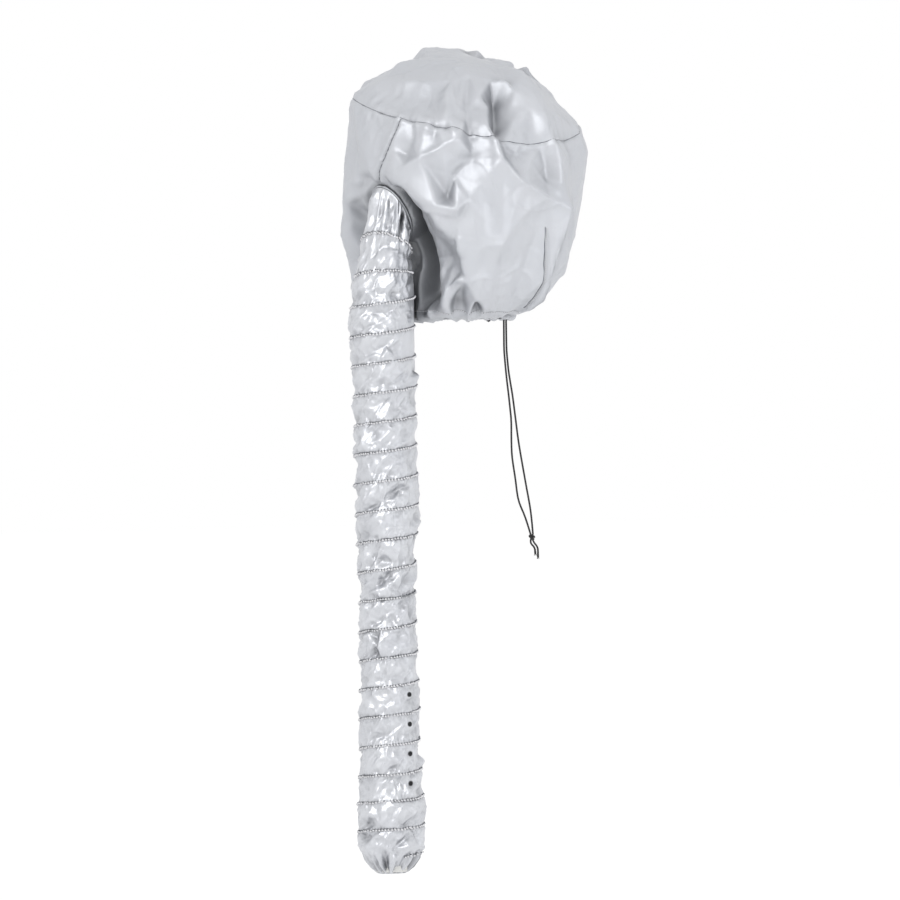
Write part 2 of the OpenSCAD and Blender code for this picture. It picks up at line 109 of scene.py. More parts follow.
# The strands' and tails' routes in the drawcord's frame, in millimetres
STRAND_LEFT = (
    (-1.3, 0, CORD_TOP), (-1.3, 0, -12), (-1.2, 0, -25), (-1, 0, -40), (-0.1, 0, -52),
    (1, 0, -64), (2.5, 0, -78), (4, 0, -90), (5.6, 0, -105), (7, 0, -120), (7.2, 0, -142),
    (8, 0, -160), (11.5, 0, -184), (15, 0, -208), (22, 0, -226), (26, 0, -238),
    (28.7, 0, -246.8))
STRAND_RIGHT = (
    (1.3, 0, CORD_TOP), (1.3, 0, -12), (1.5, 0, -25), (1.8, 0, -40), (2.8, 0, -52),
    (4, 0, -64), (6.2, 0, -78), (8.5, 0, -92), (11.5, 0, -115), (15, 0, -142), (19, 0, -166),
    (21.5, 0, -180), (24, 0, -194), (28, 0, -216), (30, 0, -232), (31.3, 0, -246.8))
TAIL_LEFT = ((28.7, 0, -253.2), (29.2, 0.6, -257), (33, 1, -262), (34, 1.4, -268))
TAIL_RIGHT = ((31.3, 0, -253.2), (32.6, 0, -256), (36.5, 0, -262), (37, 0, -272))


# ---- Finishes ----

# A wave texture repeats after this length when its scale is 1
WAVE_LENGTH = 0.31416


def colour(text):
    """The linear colour of an sRGB hex value."""
    parts = [int(text[i:i + 2], 16) / 255 for i in (1, 3, 5)]
    return (*[c / 12.92 if c <= 0.04045 else ((c + 0.055) / 1.055) ** 2.4 for c in parts], 1)


def node(tree, kind, links=(), **settings):
    """Adds a shader node with its settings, and links (input, output) pairs into it."""
    made = tree.nodes.new(kind)
    for name, value in settings.items():
        if name in made.bl_rna.properties:
            setattr(made, name, value)
        else:
            made.inputs[name.replace("_", " ")].default_value = value
    for socket, source in links:
        tree.links.new(source, made.inputs[socket])
    return made


def finish(name, base, **settings):
    """A new material with one Principled shader of this base colour."""
    made = bpy.data.materials.new(name)
    made.use_nodes = True
    tree = made.node_tree
    shader = tree.nodes["Principled BSDF"]
    shader.inputs["Base Color"].default_value = colour(base)
    for key, value in settings.items():
        shader.inputs[key.replace("_", " ")].default_value = value
    return made, tree, shader


def coated_cloth(name, base, shade, pitch, crease_size, crease, crease_height, depth,
                 fold_shade_power, **settings):
    """A woven cloth with a silvery coat: a weave of this thread pitch, and fine creases.

    Its colour is darkened towards a dark grey where its folds are closed in within this depth:
    painted shade in the folds.
    """
    made, tree, shader = finish(name, base, **settings)
    place = node(tree, "ShaderNodeUVMap", uv_map="Cloth")
    warp, weft = (node(tree, "ShaderNodeTexWave", [("Vector", place.outputs["UV"])],
                       bands_direction=way, Scale=WAVE_LENGTH / (pitch * 2), Distortion=0.6)
                  for way in ("X", "Y"))
    weave = node(tree, "ShaderNodeMath", [(0, warp.outputs["Fac"]), (1, weft.outputs["Fac"])],
                 operation="MULTIPLY")
    place_3d = node(tree, "ShaderNodeTexCoord")
    wrinkles = node(tree, "ShaderNodeTexNoise", [("Vector", place_3d.outputs["Object"])],
                    noise_type="RIDGED_MULTIFRACTAL", Scale=1 / crease_size, Detail=5,
                    Roughness=0.6, Distortion=0.8)
    threads = node(tree, "ShaderNodeBump", [("Height", weave.outputs[0])],
                   Strength=0.12, Distance=0.1 * MM)
    folds = node(tree, "ShaderNodeBump",
                 [("Height", wrinkles.outputs["Fac"]), ("Normal", threads.outputs["Normal"])],
                 Strength=crease, Distance=crease_height)
    cloud = node(tree, "ShaderNodeTexNoise", [("Vector", place_3d.outputs["Object"])],
                 Scale=22, Detail=2)
    tint = node(tree, "ShaderNodeMix", [("Factor", cloud.outputs["Fac"])], data_type="RGBA",
                A=colour(base), B=colour(shade))
    # Painted shade: deep in a fold, where the cloth sees only its own side, its colour is darkened
    # towards a dark grey
    open_to = node(tree, "ShaderNodeAmbientOcclusion", [("Color", tint.outputs["Result"])],
                   samples=8, Distance=depth)
    painted_fold_shade = node(tree, "ShaderNodeMath", [(0, open_to.outputs["AO"])], operation="POWER")
    painted_fold_shade.inputs[1].default_value = fold_shade_power
    # The dark grey of the painted shade in the folds
    deep = node(tree, "ShaderNodeMix",
                [("Factor", painted_fold_shade.outputs[0]), ("B", tint.outputs["Result"])],
                data_type="RGBA", A=colour("#3c3e43"))
    tree.links.new(deep.outputs["Result"], shader.inputs["Base Color"])
    tree.links.new(folds.outputs["Normal"], shader.inputs["Normal"])
    return made


def raised(name, base, kind, output, strength, height, pattern, **settings):
    """A finish with one fine relief, a pattern of this kind that stands this high."""
    made, tree, shader = finish(name, base, **settings)
    place = node(tree, "ShaderNodeTexCoord")
    relief = node(tree, kind, [("Vector", place.outputs["Object"])], **pattern)
    bump = node(tree, "ShaderNodeBump", [("Height", relief.outputs[output])],
                Strength=strength, Distance=height)
    tree.links.new(bump.outputs["Normal"], shader.inputs["Normal"])
    return made


def clouded(name, base, dark, light, scale, roughness):
    """A rough finish that shades from one dark tone to another."""
    made, tree, shader = finish(name, base, Roughness=roughness)
    place = node(tree, "ShaderNodeTexCoord")
    cloud = node(tree, "ShaderNodeTexNoise", [("Vector", place.outputs["Object"])], Scale=scale)
    tint = node(tree, "ShaderNodeMix", [("Factor", cloud.outputs["Fac"])], data_type="RGBA",
                A=colour(dark), B=colour(light))
    tree.links.new(tint.outputs["Result"], shader.inputs["Base Color"])
    return made


def silver_satin():
    """Satin-woven polyester with a silver coat: pale, softly shining, its weave just showing."""
    return coated_cloth("silver_coated_polyester_satin", "#d6d8dd", "#cccfd5", pitch=0.5 * MM,
                        crease_size=22 * MM, crease=0.5, crease_height=0.7 * MM, depth=38 * MM,
                        fold_shade_power=1.3, Metallic=0.35, Roughness=0.42)


def foil_nylon():
    """Thin nylon taffeta with a foil coat: brighter than the satin, with sharp glints."""
    return coated_cloth("foil_coated_nylon_taffeta", "#e4e6ea", "#d3d5db", pitch=0.4 * MM,
                        crease_size=12 * MM, crease=0.9, crease_height=1.2 * MM, depth=15 * MM,
                        fold_shade_power=1.4, Metallic=0.6, Roughness=0.36)


def sewing_thread():
    """Spun white polyester thread: matt, with a twist that is too fine to show."""
    # The twist is drawn at 0.4 mm, coarser than the real one, so that it shows
    return raised("white_spun_polyester_thread", "#f1f1f4", "ShaderNodeTexNoise", "Fac", 0.3,
                  0.1 * MM, {"Scale": 2500}, Roughness=0.6, Sheen_Weight=0.15)


def painted_hole_and_seam_shade():
    """Painted shade for a needle's hole in the coated cloth and for a seam's valley: matt and
    unlit.
    """
    return clouded("punched_needle_holes", "#5b5e66", "#4c4f57", "#74777f", 300, 0.8)


def painted_vent_shade():
    """Painted shade for the hose's unlit inside, seen through the eyelets: almost black, and
    rough.
    """
    return clouded("unlit_hose_inside", "#1c1d20", "#17181a", "#2a2b2f", 400, 0.9)


def braided_cord():
    """Black polyester braid: a matt cord whose crossing strands catch small lights."""
    # The braid's strands are 1 mm wide
    return raised("black_braided_polyester", "#101012", "ShaderNodeTexVoronoi", "Distance", 0.6,
                  0.3 * MM, {"Scale": 1000}, Roughness=0.62, Sheen_Weight=0.25)


def spring_steel():
    """Drawn spring steel: bright, with fine lines along the wire."""
    return raised("drawn_spring_steel", "#a3a5a8", "ShaderNodeTexNoise", "Fac", 0.15, 0.1 * MM,
                  {"Scale": 900, "Detail": 3}, Metallic=1.0, Roughness=0.3)


def lacquered_brass():
    """Black lacquer baked on pressed brass: dark and glossy, with slight orange peel."""
    return raised("black_lacquered_brass", "#17181a", "ShaderNodeTexNoise", "Fac", 0.1, 0.1 * MM,
                  {"Scale": 700}, Roughness=0.3, Coat_Weight=0.4)


def woven_elastic():
    """Woven white elastic: matt, with ribs 1 mm apart along it."""
    return raised("woven_white_elastic", "#e6e6e4", "ShaderNodeTexWave", "Fac", 0.5, 0.2 * MM,
                  {"bands_direction": "Z", "Scale": 314}, Roughness=0.7)


FINISHES = {}


def dress(piece, maker):
    """Gives a piece the finish of this maker, which is made once."""
    if maker.__name__ not in FINISHES:
        FINISHES[maker.__name__] = maker()
    piece.data.materials.clear()
    piece.data.materials.append(FINISHES[maker.__name__])


def place_piece(made, maker, slot_name, *nodes):
    """Gives a piece its finish and lets it stand for CAD nodes; the slot name is not used."""
    dress(made, maker)
    if nodes:
        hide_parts(*nodes)
    return made


# ---- Cloth shapes: angles in degrees, lengths in metres, arrays of numbers ----

def smooth(t):
    """Rises smoothly from 0 to 1 as t does, and stays level outside."""
    t = np.clip(t, 0, 1)
    return t * t * (3 - 2 * t)


def about_z(radius, turn, z):
    """Points at a radius and a turn in radians round +Z, at a height."""
    return np.stack([radius * np.cos(turn), radius * np.sin(turn), z], -1)


def unit(ways):
    """The same ways, each of length 1."""
    return ways / np.linalg.norm(ways, axis=-1, keepdims=True)


def run_along(line):
    """The length along a line at each of its points."""
    return np.concatenate([[0], np.cumsum(np.linalg.norm(np.diff(line, axis=0), axis=1))])


def turn_between(angle, middle):
    """How many degrees lie between two angles, the shorter way round."""
    return np.abs((angle - middle + 180) % 360 - 180)


def scatter(cells, seed):
    """Three numbers from 0 to 1 for each whole-numbered cell, mixed by large odd numbers."""
    n = cells.astype(np.int64).astype(np.uint64)
    n = (n[..., 0] * np.uint64(73856093)) ^ (n[..., 1] * np.uint64(19349663)) \
        ^ (n[..., 2] * np.uint64(83492791)) ^ np.uint64(seed * 2654435)
    n &= np.uint64(0xffffffff)
    found = []
    for factor in (2246822519, 3266489917, 2654435761):
        n = ((n ^ (n >> np.uint64(15))) * np.uint64(factor)) & np.uint64(0xffffffff)
        n = n ^ (n >> np.uint64(13))
        found.append(n.astype(float) / 0xffffffff)
    return np.stack(found, -1)


def draws(count, seed):
    """Three numbers from 0 to 1 for each of this many."""
    return scatter(np.stack([np.arange(count)] * 3, -1), seed)


def lumps(points, size, seed):
    """Smooth noise from about -1 to 1, in lumps of this size."""
    p = points / size
    cell = np.floor(p)
    f = p - cell
    u = f * f * f * (f * (f * 6 - 15) + 10)
    total = np.zeros(p.shape[:-1])
    for corner in np.ndindex(2, 2, 2):
        c = np.array(corner)
        slope = scatter(cell + c, seed) * 2 - 1
        share = np.prod(np.where(c == 1, u, 1 - u), axis=-1)
        total += share * np.sum(slope * (f - c), axis=-1)
    # The sum seldom passes 0.6, so this brings it to about 1
    return total * 1.7


def creases(points, size, seed):
    """Long sharp ridges, up to 1, with rounded hollows between them."""
    n = np.abs(lumps(points, size, seed))
    # The small number rounds off the ridges' tops
    return 1 - np.sqrt(n * n + 0.0016) * 2.2


def facets(points, size, seed, sharp=0.12):
    """Crumpled facets from 0 to 1: flat slopes that meet in sharp creases of this size."""
    p = points / size
    cell = np.floor(p)
    near = np.full(p.shape[:-1], 9.0)
    following = near.copy()
    for step in np.ndindex(3, 3, 3):
        c = cell + np.array(step) - 1
        d = np.linalg.norm(c + scatter(c, seed) - p, axis=-1)
        following = np.minimum(following, np.maximum(near, d))
        near = np.minimum(near, d)
    return (following - near) / (following - near + sharp) * (0.4 + 0.6 * near)


def crown_plane(y):
    """The height of the crown seam, which slopes across the hood."""
    return SEAM_Z + SEAM_SLOPE * y


def round_radius(angle, share):
    """The hood's radius without its furrow, at a share of the way from the hem to the seam."""
    a = np.radians(angle)
    # Its slack side is at its widest sooner and swells out faster
    slack = 0.5 + 0.5 * np.cos(a - math.radians(140))
    rise = np.minimum(1, share / (0.75 - 0.3 * slack))
    swell = np.sin(np.pi / 2 * rise) ** (0.45 - 0.28 * slack)
    shoulder = 1 - 0.03 * np.maximum(0, (share - 0.85) / 0.15) ** 2
    fuller = 1 + 0.03 * np.cos(a - math.radians(130)) * np.sin(np.pi * np.minimum(1, share * 1.15))
    return (HEM_RADIUS + (HOOD_RADIUS - HEM_RADIUS) * swell) * shoulder * fuller


def furrow_floor(z):
    """How far the furrow's floor lies from the hood's middle line."""
    return np.maximum(FURROW_FLOOR, PORT_TOP_X - (PORT_TOP_Z - z) * math.tan(PORT_TILT))


def hood_point(angle, place, cut=1):
    """A point on the unwrinkled hood. The place is 0 at the hem, 1 at the seam, 2 at the top.

    With no cut, the hood is round where its furrow would be.
    """
    a = np.radians(angle)
    share = np.clip(place, 0, 1)
    rim = round_radius(angle, np.ones_like(share))
    # The crown seam sags over the nape
    sag = SEAM_SAG * np.exp(-((angle - SEAM_SAG_ANGLE) / 30) ** 2)
    seam_z = crown_plane(rim * np.sin(a)) - sag
    z = HEM_TOP + share * (seam_z - HEM_TOP)
    r = round_radius(angle, share)
    off = turn_between(angle, 180)
    # The furrow is narrow at the port and widens below it
    half = np.degrees(np.arctan(
        (18.5 + 5 * np.sqrt(np.maximum(0, (PORT_TOP_Z - z) / MM))) * MM / furrow_floor(z)))
    below = smooth((PORT_TOP_Z + 22 * MM - z) / (24 * MM))
    furrow = (1 - smooth((off - half) / FURROW_SIDE)) * below
    # The soft cloth rounds over where the furrow cuts in
    deep = r - furrow_floor(z) / np.cos(np.radians(np.minimum(60, off)))
    r = r - 0.5 * (deep + np.sqrt(deep ** 2 + (4 * MM) ** 2)) * furrow * cut
    inward = np.clip(place - 1, 0, 1)
    crown_r = rim * (1 - inward)
    crown_z = crown_plane(crown_r * np.sin(a)) + CROWN_HEIGHT * (1 - (1 - inward) ** CROWN_DOME) \
        - sag * (1 - inward) ** 3
    # The cloth leaves the hem from its outside, and hangs unevenly over the channel
    low = np.exp(-np.maximum(place, 0) / 0.025)
    uneven = lumps(about_z(50, a, 0 * a) * MM, 17 * MM, 14)
    # It is drawn up on the side away from the hose
    drawn = np.exp(-(((angle - 145) % 360 - 180) / 45) ** 2)
    r = np.where(place > 1, crown_r, r + 6.5 * (1 - 1.2 * drawn) * MM * low)
    z = np.where(place > 1, crown_z, z - (13 - 9 * drawn + 3.5 * uneven) * MM * low)
    return about_z(r, a, z)


class Cloth:
    """A grid of points over two directions, with what is needed to lay trim on it."""

    def __init__(self, points, wrapped=True):
        self.points = points
        self.wrapped = wrapped
        self.normals = self.facing()

    def facing(self):
        """The outward direction at each point."""
        p = self.points
        if self.wrapped:
            across = np.roll(p, -1, axis=1) - np.roll(p, 1, axis=1)
        else:
            across = np.gradient(p, axis=1)
        up = np.gradient(p, axis=0)
        n = np.cross(across, up)
        return n / np.maximum(np.linalg.norm(n, axis=-1, keepdims=True), 1e-12)

    def lift(self, height):
        """The same cloth with each point moved out by its height."""
        return Cloth(self.points + self.normals * height[..., None], self.wrapped)

    def at(self, row, column):
        """Points and outward directions at fractional rows and columns."""
        rows, columns = self.points.shape[:2]
        row = np.clip(np.asarray(row, float), 0, rows - 1.001)
        column = np.asarray(column, float)
        if self.wrapped:
            column = column % columns
        else:
            column = np.clip(column, 0, columns - 1.001)
        i, j = np.floor(row).astype(int), np.floor(column).astype(int)
        s, t = (row - i)[..., None], (column - j)[..., None]
        k = (j + 1) % columns
        found = []
        for grid in (self.points, self.normals):
            found.append((grid[i, j] * (1 - t) + grid[i, k] * t) * (1 - s)
                         + (grid[i + 1, j] * (1 - t) + grid[i + 1, k] * t) * s)
        return found[0], unit(found[1])

    def mesh(self, name, across, up, first=0, last=None, top=None, hole=None):
        """A smooth mesh of the rows from first to last, with the cloth's own lengths as UV."""
        p = self.points[first:last]
        rows, columns = p.shape[:2]
        seam = columns if self.wrapped else columns - 1
        quads = grid_faces(rows, columns, seam)
        i, j = np.meshgrid(np.arange(rows - 1), np.arange(seam), indexing="ij")
        corners = np.stack([
            np.stack([j * across, i * up], -1), np.stack([(j + 1) * across, i * up], -1),
            np.stack([(j + 1) * across, (i + 1) * up], -1),
            np.stack([j * across, (i + 1) * up], -1)], 2).reshape(-1, 4, 2)
        points = p.reshape(-1, 3)
        if hole is not None:
            kept = ~hole(points[quads].mean(axis=1))
            quads, corners = quads[kept], corners[kept]
        faces = quads.tolist()
        if top is not None:
            points = np.concatenate([points, [top]])
            rim = (rows - 1) * columns
            faces += [[rim + n, rim + (n + 1) % columns, rim + columns] for n in range(columns)]
            tip = [[0, rows * up], [across, rows * up], [0, (rows + 1) * up]]
            corners = np.concatenate([corners.reshape(-1, 2), np.tile(tip, (columns, 1))])
        return raise_mesh(name, points, faces, corners.reshape(-1, 2))


def grid_faces(rows, columns, seam):
    """The faces that join each row of points to the next, over this many columns."""
    i, j = np.meshgrid(np.arange(rows - 1), np.arange(seam), indexing="ij")
    k = (j + 1) % columns
    return np.stack([i * columns + j, i * columns + k,
                     (i + 1) * columns + k, (i + 1) * columns + j], -1).reshape(-1, 4)


def joined(parts):
    """The points and faces of several tubes as one."""
    points, faces = [], []
    for ring, more in parts:
        faces += [[i + sum(map(len, points)) for i in f] for f in more]
        points.append(ring)
    return np.concatenate(points), faces


def raise_mesh(name, points, faces, cloth_uv=None):
    """A new smooth mesh object from points and faces."""
    data = bpy.data.meshes.new(name)
    data.from_pydata(np.asarray(points).tolist(), [], faces)
    if cloth_uv is not None:
        layer = data.uv_layers.new(name="Cloth")
        layer.data.foreach_set("uv", np.asarray(cloth_uv, np.float32).ravel())
    data.shade_smooth()
    data.validate()
    made = bpy.data.objects.new(name, data)
    bpy.context.scene.collection.objects.link(made)
    return made


def tube(points, radius, sides=8):
    """The points and faces of a closed round tube along a line."""
    p = np.asarray(points, float)
    along = unit(np.gradient(p, axis=0))
    side = np.cross(along[0], [0.3, 0.9, 0.2])
    rings = []
    radius = np.broadcast_to(radius, len(p))
    for q, d, r in zip(p, along, radius):
        side = side - d * np.dot(side, d)
        side /= np.linalg.norm(side)
        other = np.cross(d, side)
        turn = np.arange(sides) * 2 * np.pi / sides
        rings.append(q + r * (np.cos(turn)[:, None] * side + np.sin(turn)[:, None] * other))
    faces = grid_faces(len(p), sides, sides).tolist()
    faces.append(list(range(sides))[::-1])
    faces.append(list(range((len(p) - 1) * sides, len(p) * sides)))
    return np.concatenate(rings), faces


def curve_through(points, count):
    """A smooth line of evenly spaced points through the given ones."""
    p = np.asarray(points, float)
    p = np.concatenate([[2 * p[0] - p[1]], p, [2 * p[-1] - p[-2]]])
    line = []
    for a, b, c, d in zip(p, p[1:], p[2:], p[3:]):
        for t in np.linspace(0, 1, 16, endpoint=False):
            line.append(0.5 * (2 * b + (c - a) * t + (2 * a - 5 * b + 4 * c - d) * t * t
                               + (3 * b - a - 3 * c + d) * t ** 3))
    line.append(p[-2])
    line = np.array(line)
    run = run_along(line)
    even = np.linspace(0, run[-1], count)
    return np.stack([np.interp(even, run, line[:, i]) for i in range(3)], -1)


def stitches(name, starts, ends, lifts, width):
    """One mesh of short thread stitches, each a low arch from its start to its end."""
    start, end, up = (np.asarray(x, float) for x in (starts, ends, lifts))
    steps = np.array([0, 0.12, 0.5, 0.88, 1])
    rise = np.array([-0.25, 0.45, 0.75, 0.45, -0.25])
    thick = np.array([0.35, 0.85, 1, 0.85, 0.35])
    turn = np.arange(6) * np.pi / 3
    side = unit(np.cross(up, unit(end - start)))
    rings = (start[:, None, None] + (end - start)[:, None, None] * steps[None, :, None, None]
             + up[:, None, None] * (rise * width)[None, :, None, None]
             + 0.5 * width * thick[None, :, None, None] * (
                 np.cos(turn)[None, None, :, None] * side[:, None, None]
                 + 0.8 * np.sin(turn)[None, None, :, None] * up[:, None, None]))
    count, rows, sides = len(start), len(steps), len(turn)
    quads = grid_faces(rows, sides, sides)
    faces = (quads[None] + np.arange(count)[:, None, None] * rows * sides).reshape(-1, 4).tolist()
    return raise_mesh(name, rings.reshape(-1, 3), faces)


# ---- Hood ----

# The hood's and the hose's whole cloths, each worked out once
CLOTHS = {}
HOOD_COLUMNS = 400
# For the length of the cloth from column to column
HOOD_MEAN_RADIUS = 0.12
BAND_ROWS = 128
CROWN_ROWS = 56
BAND_PLACES = np.linspace(0, 1, BAND_ROWS + 1) ** 1.15
CROWN_PLACES = 1 + 0.985 * np.linspace(0, 1, CROWN_ROWS + 1)[1:]
PLACES = np.concatenate([BAND_PLACES, CROWN_PLACES])

# The set folds: how far each line of cloth stands out, in millimetres, and its way over the hood
# by angle and place. The cloth is drawn flat from line to line.
FOLDS = (
    (10, ((282, 1.47), (274, 1.26), (273, 1.09), (276, 0.92), (278, 0.74))),
    (14, ((278, 0.74), (282, 0.59), (280, 0.41), (278, 0.22), (282, 0.06))),
    (7, ((244, 0.97), (246, 0.87), (256, 0.76), (270, 0.67), (282, 0.59))),
    (-6, ((248, 0.97), (249, 0.9), (255, 0.91))),
    (-3, ((268, 0.98), (272, 0.78))),
    (7, ((192, 0.68), (200, 0.74), (208, 0.81), (218, 0.88), (226, 0.95))),
    (-8, ((233, 0.86), (224, 0.74), (220, 0.61))),
    (-1.5, ((241, 0.87), (236, 0.73), (232, 0.62))),
    (7, ((198, 0.66), (202, 0.62), (208, 0.59), (216, 0.56), (225, 0.55))),
    (-1, ((198, 0.56), (208, 0.51), (218, 0.49))),
    (3, ((204, 0.55), (211, 0.52), (216, 0.49))),
    (-4, ((226, 0.49), (222, 0.32), (225, 0.2))),
    (2, ((225, 0.32), (236, 0.34), (248, 0.37))),
    (6, ((214, 0.02), (220, 0.1), (226, 0.16), (230, 0.15), (235, 0.07), (243, 0.01))),
    (-7, ((227, 0.08), (228, 0.02))),
    (-9, ((221, 0.03), (220, 0.01))),
    (-9, ((237, 0.03), (240, 0.01))),
    (3, ((195, 0.64), (196, 0.54), (200, 0.44), (200, 0.31), (206, 0.17))),
    (4, ((212, 0.09), (212, 0.03))),
    (-2.5, ((175, 1), (178, 0.9), (180, 0.82))),
    (1.2, ((197, 0.99), (193, 0.83), (186, 0.67))),
    (-3, ((202, 0.97), (202, 0.89), (200, 0.8))),
    (1.5, ((210, 1), (214, 0.88))),
    (2.5, ((180, 0.64), (176, 0.72), (169, 0.83), (164, 0.93))),
    (-2.5, ((168, 0.63), (164, 0.72))),
    (4, ((167, 0.57), (152, 0.51))),
    (2, ((152, 0.52), (146, 0.4))),
    (5, ((141, 0.31), (137, 0.25))),
    (10, ((134, 0.18), (130, 0.08))),
    (-3, ((154, 0.49), (150, 0.41))),
    (-3.5, ((209, 1.26), (214, 1.05))),
    (2, ((216, 1.28), (220, 1.05))),
    (-3, ((230, 1.28), (230, 1.11))),
    (2.5, ((238, 1.28), (240, 1.06))),
    (7.5, ((259, 1.43), (264, 1.32), (267, 1.2), (271, 1.07))),
    (-11, ((252, 1.32), (248, 1.15), (245, 1.04))),
    (-1, ((258, 1.23), (254, 1.08))),
    (3, ((217, 1.62), (250, 1.79), (304, 1.73), (317, 1.62))),
    (2.5, ((232, 1.51), (250, 1.45), (266, 1.49))),
    (2, ((150, 1), (164, 1.18), (184, 1.27))),
    (-2.5, ((190, 1.17), (197, 1.02))),
    (-2, ((176, 1.16), (186, 1.03))),
    (2.5, ((152, 1.43), (166, 1.65), (194, 1.72))),
    (-2.5, ((232, 1.24), (238, 1.22), (244, 1.22))),
    (2, ((198, 1.31), (218, 1.4))),
    (-2.5, ((199, 1.19), (205, 1.05))),
    (1.5, ((302, 1.03), (308, 0.89))),
    (-5, ((293, 0.9), (295, 0.72), (295, 0.46), (294, 0.2))),
    (2, ((309, 0.26), (304, 0.11))),
)
# The sides away from the nape crumple into flats with this many corners, which stand in or
# out by up to this many millimetres
OTHER_CORNERS = 90
OTHER_RISE = 7.5
# The seam tapes lie this far off the cloth, on its inside
TAPE_LIFT = -1.4 * MM
# The nape placket's stitching, by angle and place
PLACKET_TOP = (272.5, 0.49)
PLACKET_FOOT = (278.5, 0.035)
# Where the side seam runs, from the top of the port to the crown seam
SIDE_SEAM = ((181, 0.64), (189, 0.82), (196, 1.0))
# Folds that have been pressed sharp, each with its height in millimetres
SHARP_FOLDS = (
    (3.6, ((246, 0.9), (256, 0.76), (270, 0.67), (281, 0.6))),
    (4.2, ((281, 0.6), (280, 0.41), (278, 0.24), (282, 0.1))),
    (2.4, ((194, 0.69), (208, 0.8), (224, 0.92))),
    (-2.2, ((232, 0.84), (224, 0.74), (220, 0.62))),
    (2.2, ((273, 1.12), (282, 1.3), (288, 1.5))),
)


def route_on_hood(route, count=28):
    """The angles and places of a line over the hood through the given ones."""
    line = curve_through([(a, s * 100, 0) for a, s in route], count)
    return line[:, 0], np.clip(line[:, 1] / 100, 0, 1.98)


def from_line(points, line, reach):
    """How far each point lies from a line, and no more than reach."""
    flat = points.reshape(-1, 3)
    best = np.full(len(flat), reach)
    low, high = line.min(axis=0) - reach, line.max(axis=0) + reach
    inside = np.flatnonzero(np.all((flat > low) & (flat < high), axis=1))
    p = flat[inside]
    nearest = best[inside]
    for i in range(len(line) - 1):
        a, d = line[i], line[i + 1] - line[i]
        t = np.clip((p - a) @ d / max(d @ d, 1e-12), 0, 1)
        away = np.linalg.norm(p - a - t[:, None] * d, axis=1)
        nearest = np.minimum(nearest, away)
    best[inside] = nearest
    return best.reshape(points.shape[:-1])


def fold_net():
    """The corners of the hood's flats on a disc round its top, with their rises, and the flats."""
    spots, lines = [], []
    for rise, route in FOLDS:
        lines += [(len(spots) + i, len(spots) + i + 1) for i in range(len(route) - 1)]
        spots += [(angle, place, rise) for angle, place in route]
    for k in range(OTHER_CORNERS):
        round_it, up, out = scatter(np.array([k, 5, 9]), 21)
        spots.append((round_it * 172 - 40, 0.1 + 1.75 * (k + up) / OTHER_CORNERS,
                      OTHER_RISE * (2 * out - 1)))
    spots += [(angle, -0.05, 0) for angle in range(0, 360, 12)] + [(0, 2, 0)]
    flat = [Vector(on_disc(math.radians(angle), place)) for angle, place, _ in spots]
    corners, _, faces, came_from, _, _ = geometry.delaunay_2d_cdt(flat, lines, [], 0, 1e-6)
    rises = []
    for corner, source in zip(corners, came_from):
        nearest = source[0] if source else min(
            range(len(flat)), key=lambda i: (flat[i] - corner).length)
        rises.append(spots[nearest][2])
    return np.array([tuple(c) for c in corners]), np.array(rises, float), faces


def on_disc(turn, place):
    """A place on the hood as a point on a disc round the crown's top."""
    return (2 - place) * np.cos(turn), (2 - place) * np.sin(turn)


def from_middle(points):
    """The way out of the hood at each point, from the middle of the head's room."""
    return unit(points - np.array([0, 0, HEAD_MIDDLE_Z]))


def soften(grid, times):
    """Blends each value with its neighbours round the hood and up it."""
    for _ in range(times):
        grid = (np.roll(grid, 1, 1) + 2 * grid + np.roll(grid, -1, 1)) / 4
        up = np.pad(grid, ((1, 1), (0, 0)), "edge")
        grid = (up[:-2] + 2 * grid + up[2:]) / 4
    return grid


def drawn_flat(angle, place, flatness):
    """How far the hood's flats stand off its round form, in millimetres."""
    corners, rises, faces = fold_net()
    turn = np.degrees(np.arctan2(corners[:, 1], corners[:, 0]))
    reach = np.minimum(1.98, 2 - np.hypot(corners[:, 0], corners[:, 1]))
    solid = hood_point(turn, reach, 0)
    round_form = hood_point(angle, place, 0)
    out = from_middle(round_form)
    spread = np.stack(on_disc(np.radians(angle), place), -1).reshape(-1, 2)
    rise = np.zeros(len(spread))
    chord = round_form.reshape(-1, 3).copy()
    for face in faces:
        a, b, c = (corners[k] for k in face)
        area = (b[0] - a[0]) * (c[1] - a[1]) - (c[0] - a[0]) * (b[1] - a[1])
        if abs(area) < 1e-9:
            continue
        low, high = np.minimum(np.minimum(a, b), c) - 1e-6, np.maximum(np.maximum(a, b), c) + 1e-6
        near = np.flatnonzero(np.all((spread > low) & (spread < high), axis=1))
        p = spread[near]
        second = ((p[:, 0] - a[0]) * (c[1] - a[1]) - (c[0] - a[0]) * (p[:, 1] - a[1])) / area
        third = ((b[0] - a[0]) * (p[:, 1] - a[1]) - (p[:, 0] - a[0]) * (b[1] - a[1])) / area
        share = np.stack([1 - second - third, second, third], -1)
        within = np.all(share > -1e-6, axis=1)
        rise[near[within]] = share[within] @ rises[list(face)]
        chord[near[within]] = share[within] @ solid[list(face)]
    rise = rise.reshape(angle.shape)
    dip = np.sum((chord.reshape(round_form.shape) - round_form) * out, axis=-1) / MM
    dip = -9 * np.tanh(np.maximum(0, -dip) / 9)
    return soften(rise + flatness * dip, 1)


